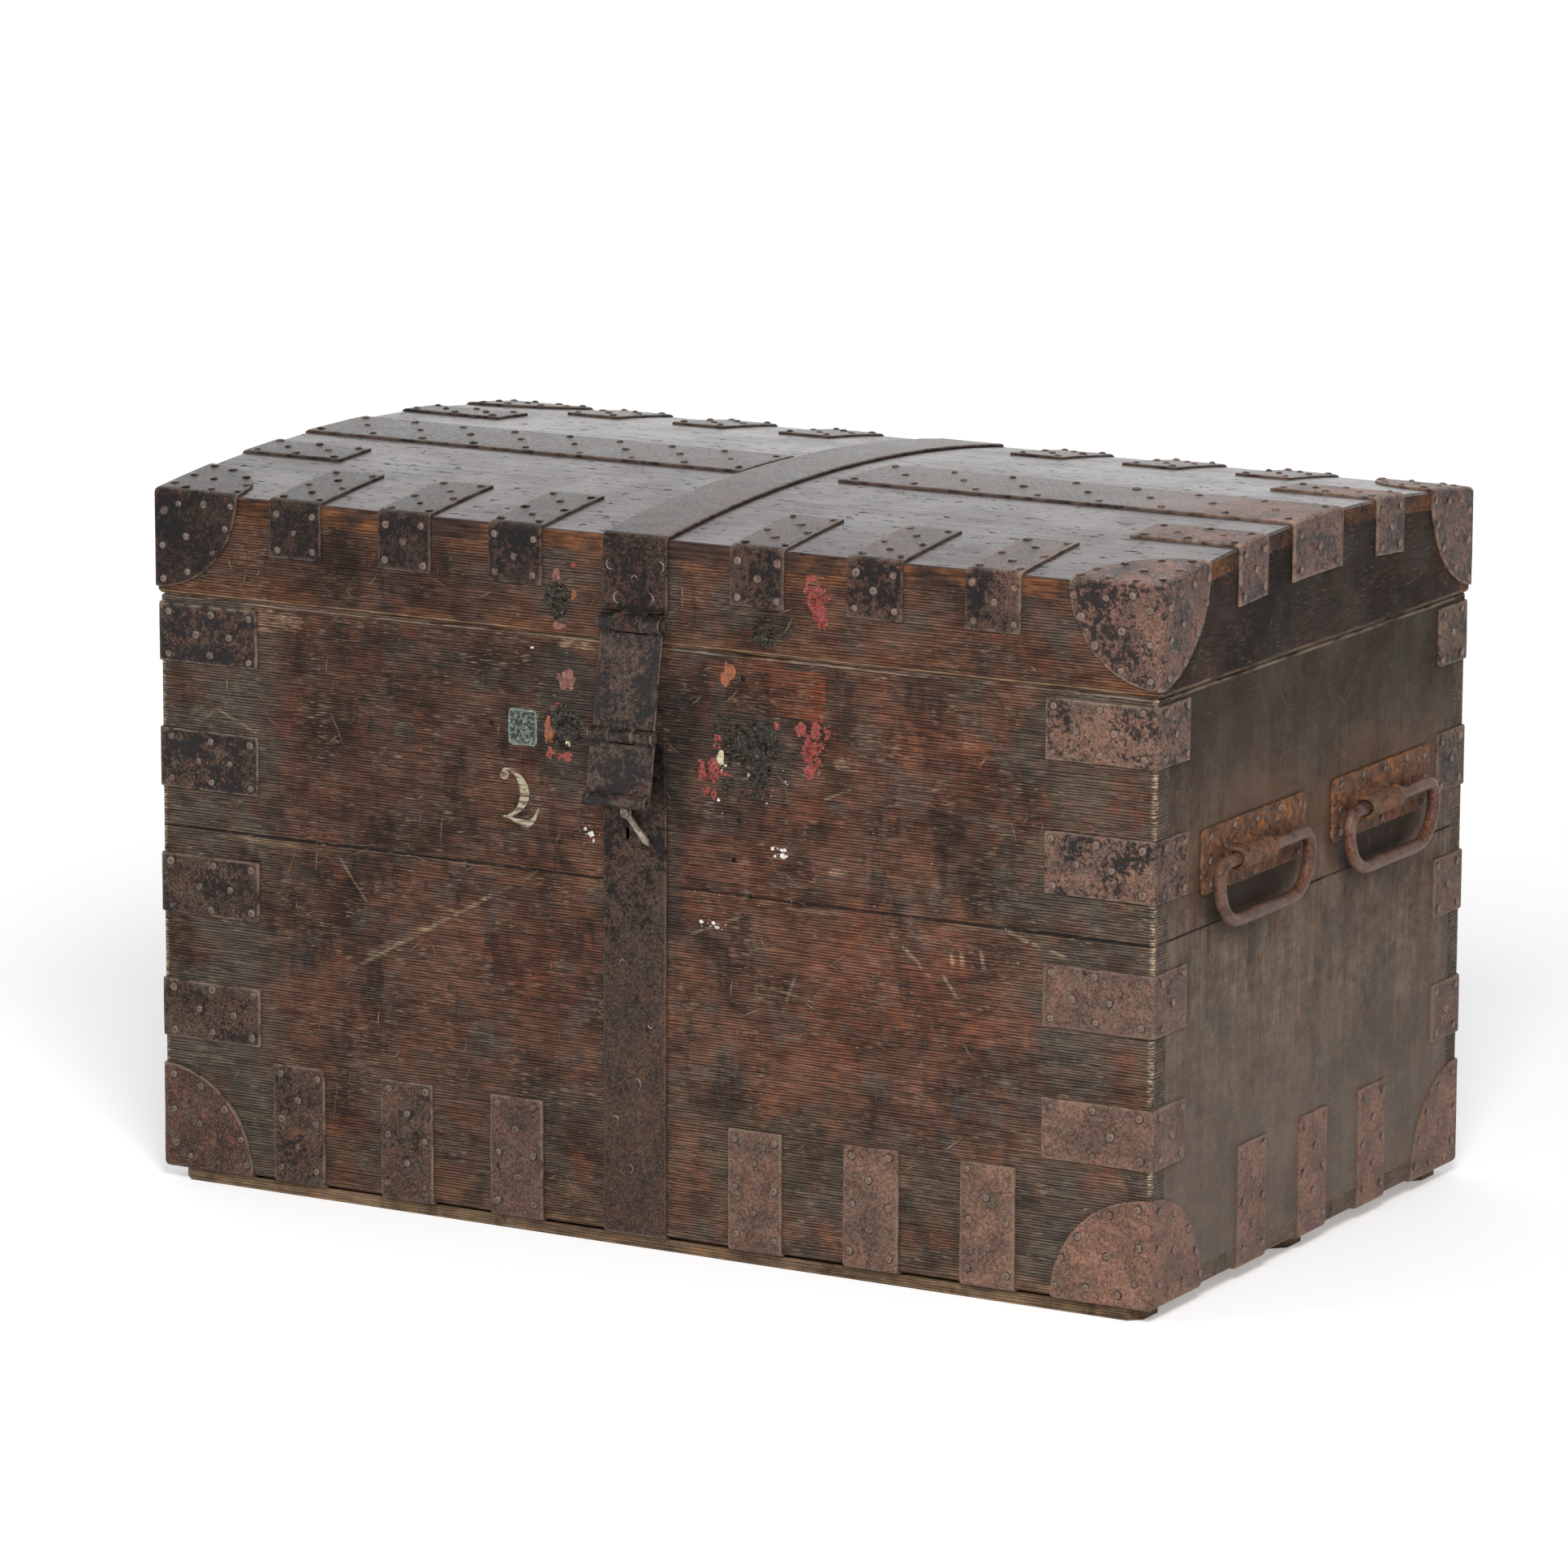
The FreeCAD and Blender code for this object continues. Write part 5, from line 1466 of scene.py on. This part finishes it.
def make_scuffs(m):
    """Fine scratches on the case's walls and the lid's sides and top."""
    dice = random.Random(7)
    for body, skin, walls in (("case", case_skin, CASE_SCUFFS), ("lid", lid_skin, LID_SCUFFS)):
        points, faces = [], []
        for middle, along_way, half, up_way, low, high, count in walls:
            for _ in range(count):
                start = middle + along_way * dice.uniform(-half, half) + up_way * dice.uniform(low, high)
                turn = dice.gauss(0, 0.6) + dice.choice((0, math.pi / 2, math.pi / 4))
                way = along_way * math.cos(turn) + up_way * math.sin(turn)
                length = dice.uniform(3, 16) * mm * dice.choice((1, 1, 2))
                end = start + way * length - middle
                if abs(end.dot(along_way)) > half or not low < end.dot(up_way) < high:
                    continue
                sliver(points, faces, skin, start, way, length, dice.uniform(0.35, 0.9) * mm,
                       dice.uniform(-1.2, 1.2) * mm)
        mesh_object(body + "_scuffs", points, faces, m["scuff"], body)


# Crescents left by old nails on the middle straps: x, z, radius and turn
CASE_SCARS = ((-2, 124, 3.6, 20), (-14, 213, 2.4, 120), (-20, 95, 2.6, 60), (10, 170, 2.2, 240), (-8, 60, 2.8, 10))
LID_SCARS = ((-24, 507, 3.4, 200), (17, 508, 3.4, 20), (-18, 483, 3.4, 180), (8, 484, 3.6, 0), (-4, 497, 2.6, 90))


def make_nail_scars(m):
    """Raised crescents where heads of older nails were struck off."""
    steps = 12
    for body, scars in (("case", CASE_SCARS), ("lid", LID_SCARS)):
        points, faces = [], []
        for x, z, radius, turn0 in scars:
            faces += grid(len(points), steps + 1, 3)
            for i in range(steps + 1):
                t = i / steps
                turn = math.radians(turn0 - 110 + 220 * t)
                swell = math.sin(math.pi * t)
                for reach, lift in ((-0.55 * swell, -0.1), (0, 0.55 * swell), (0.55 * swell, -0.1)):
                    r = radius + reach
                    points.append(on_front((x + r * math.cos(turn)) * mm, (z + 1.2 * r * math.sin(turn)) * mm,
                                           iron + lift * mm))
        mesh_object(body + "_nail_scars", points, faces, m["iron_grey"], body)


# Stage


def make_floor():
    """Pale floor with a painted glow that grows with the distance, which whitens the far floor and lights the chest
    from below.
    """
    mesh = bpy.data.meshes.new("floor")
    corners = [(x * floor_half, y * floor_half, 0) for x, y in ((-1, -1), (1, -1), (1, 1), (-1, 1))]
    mesh.from_pydata(corners, [], [(0, 1, 2, 3)])
    p = Paint("floor", roughness=0.9, specular=0.05)
    tone = p.field(1400, detail=2.0)
    away = p.math("SQRT", p.plus(p.times(p.x, p.x), p.times(p.y, p.y)))
    p.shader.inputs["Emission Color"].default_value = WHITE
    p.feed(p.shader.inputs["Emission Strength"], p.band(away, glow_start, glow_end, floor_near, floor_far))
    mesh.materials.append(p.finish(p.mix(tone, (0.84, 0.84, 0.84), (0.86, 0.86, 0.86))))
    linked("floor", mesh)


def make_sky():
    """White sky, brighter behind the chest than in front of it."""
    world = bpy.data.worlds.new("studio")
    world.use_nodes = True
    tree = world.node_tree
    background = tree.nodes["Background"]
    background.inputs["Color"].default_value = WHITE
    sky = tree.nodes.new("ShaderNodeMapRange")
    sky.interpolation_type = "SMOOTHSTEP"
    for name, value in (("From Min", sky_start), ("From Max", sky_end),
                        ("To Min", sky_front), ("To Max", sky_behind)):
        sky.inputs[name].default_value = value
    towards = tree.nodes.new("ShaderNodeVectorMath")
    towards.operation = "DOT_PRODUCT"
    azimuth = math.radians(camera_azimuth)
    towards.inputs[1].default_value = (-math.sin(azimuth), math.cos(azimuth), 0)
    tree.links.new(tree.nodes.new("ShaderNodeTexCoord").outputs["Generated"], towards.inputs[0])
    tree.links.new(towards.outputs["Value"], sky.inputs["Value"])
    tree.links.new(sky.outputs["Result"], background.inputs["Strength"])
    bpy.context.scene.world = world


def make_lights():
    """Soft square lights, aimed at the chest's middle."""
    for name, place, size, power in LIGHTS:
        data = bpy.data.lights.new(name, "AREA")
        data.shape = "SQUARE"
        data.size = size
        data.energy = power
        light = linked(name, data)
        light.location = place
        aim = Vector((0, 0, aim_height)) - Vector(place)
        light.rotation_euler = aim.to_track_quat("-Z", "Y").to_euler()


def make_camera():
    """The camera at the photograph's angle."""
    azimuth = math.radians(camera_azimuth)
    elevation = math.radians(camera_elevation)
    roll = math.radians(camera_roll)
    right = Vector((math.cos(azimuth), math.sin(azimuth), 0))
    back = Vector((math.sin(azimuth) * math.cos(elevation), -math.cos(azimuth) * math.cos(elevation),
                   math.sin(elevation)))
    up = back.cross(right)
    aim = Vector((0, 0, aim_height)) + right * aim_right + up * aim_up
    right_rolled = right * math.cos(roll) + up * math.sin(roll)
    up_rolled = up * math.cos(roll) - right * math.sin(roll)
    data = bpy.data.cameras.new("camera")
    data.lens = camera_lens
    data.sensor_width = camera_sensor
    data.sensor_fit = "HORIZONTAL"
    data.clip_end = camera_reach
    camera = linked("camera", data)
    place = Matrix((right_rolled, up_rolled, back)).transposed().to_4x4()
    place.translation = aim + back * camera_distance
    camera.matrix_world = place
    bpy.context.scene.camera = camera


def main():
    materials = make_materials()
    make_floor()
    make_sky()
    make_lights()
    make_camera()
    bpy.context.scene.view_settings.view_transform = "Standard"
    for step in (dress_cad, make_bottom_straps, make_edge_straps, make_lid_straps, make_corners, make_bails,
                 make_plate_nails, make_remains, make_numeral, make_label, make_scuffs, make_nail_scars):
        step(materials)


main()
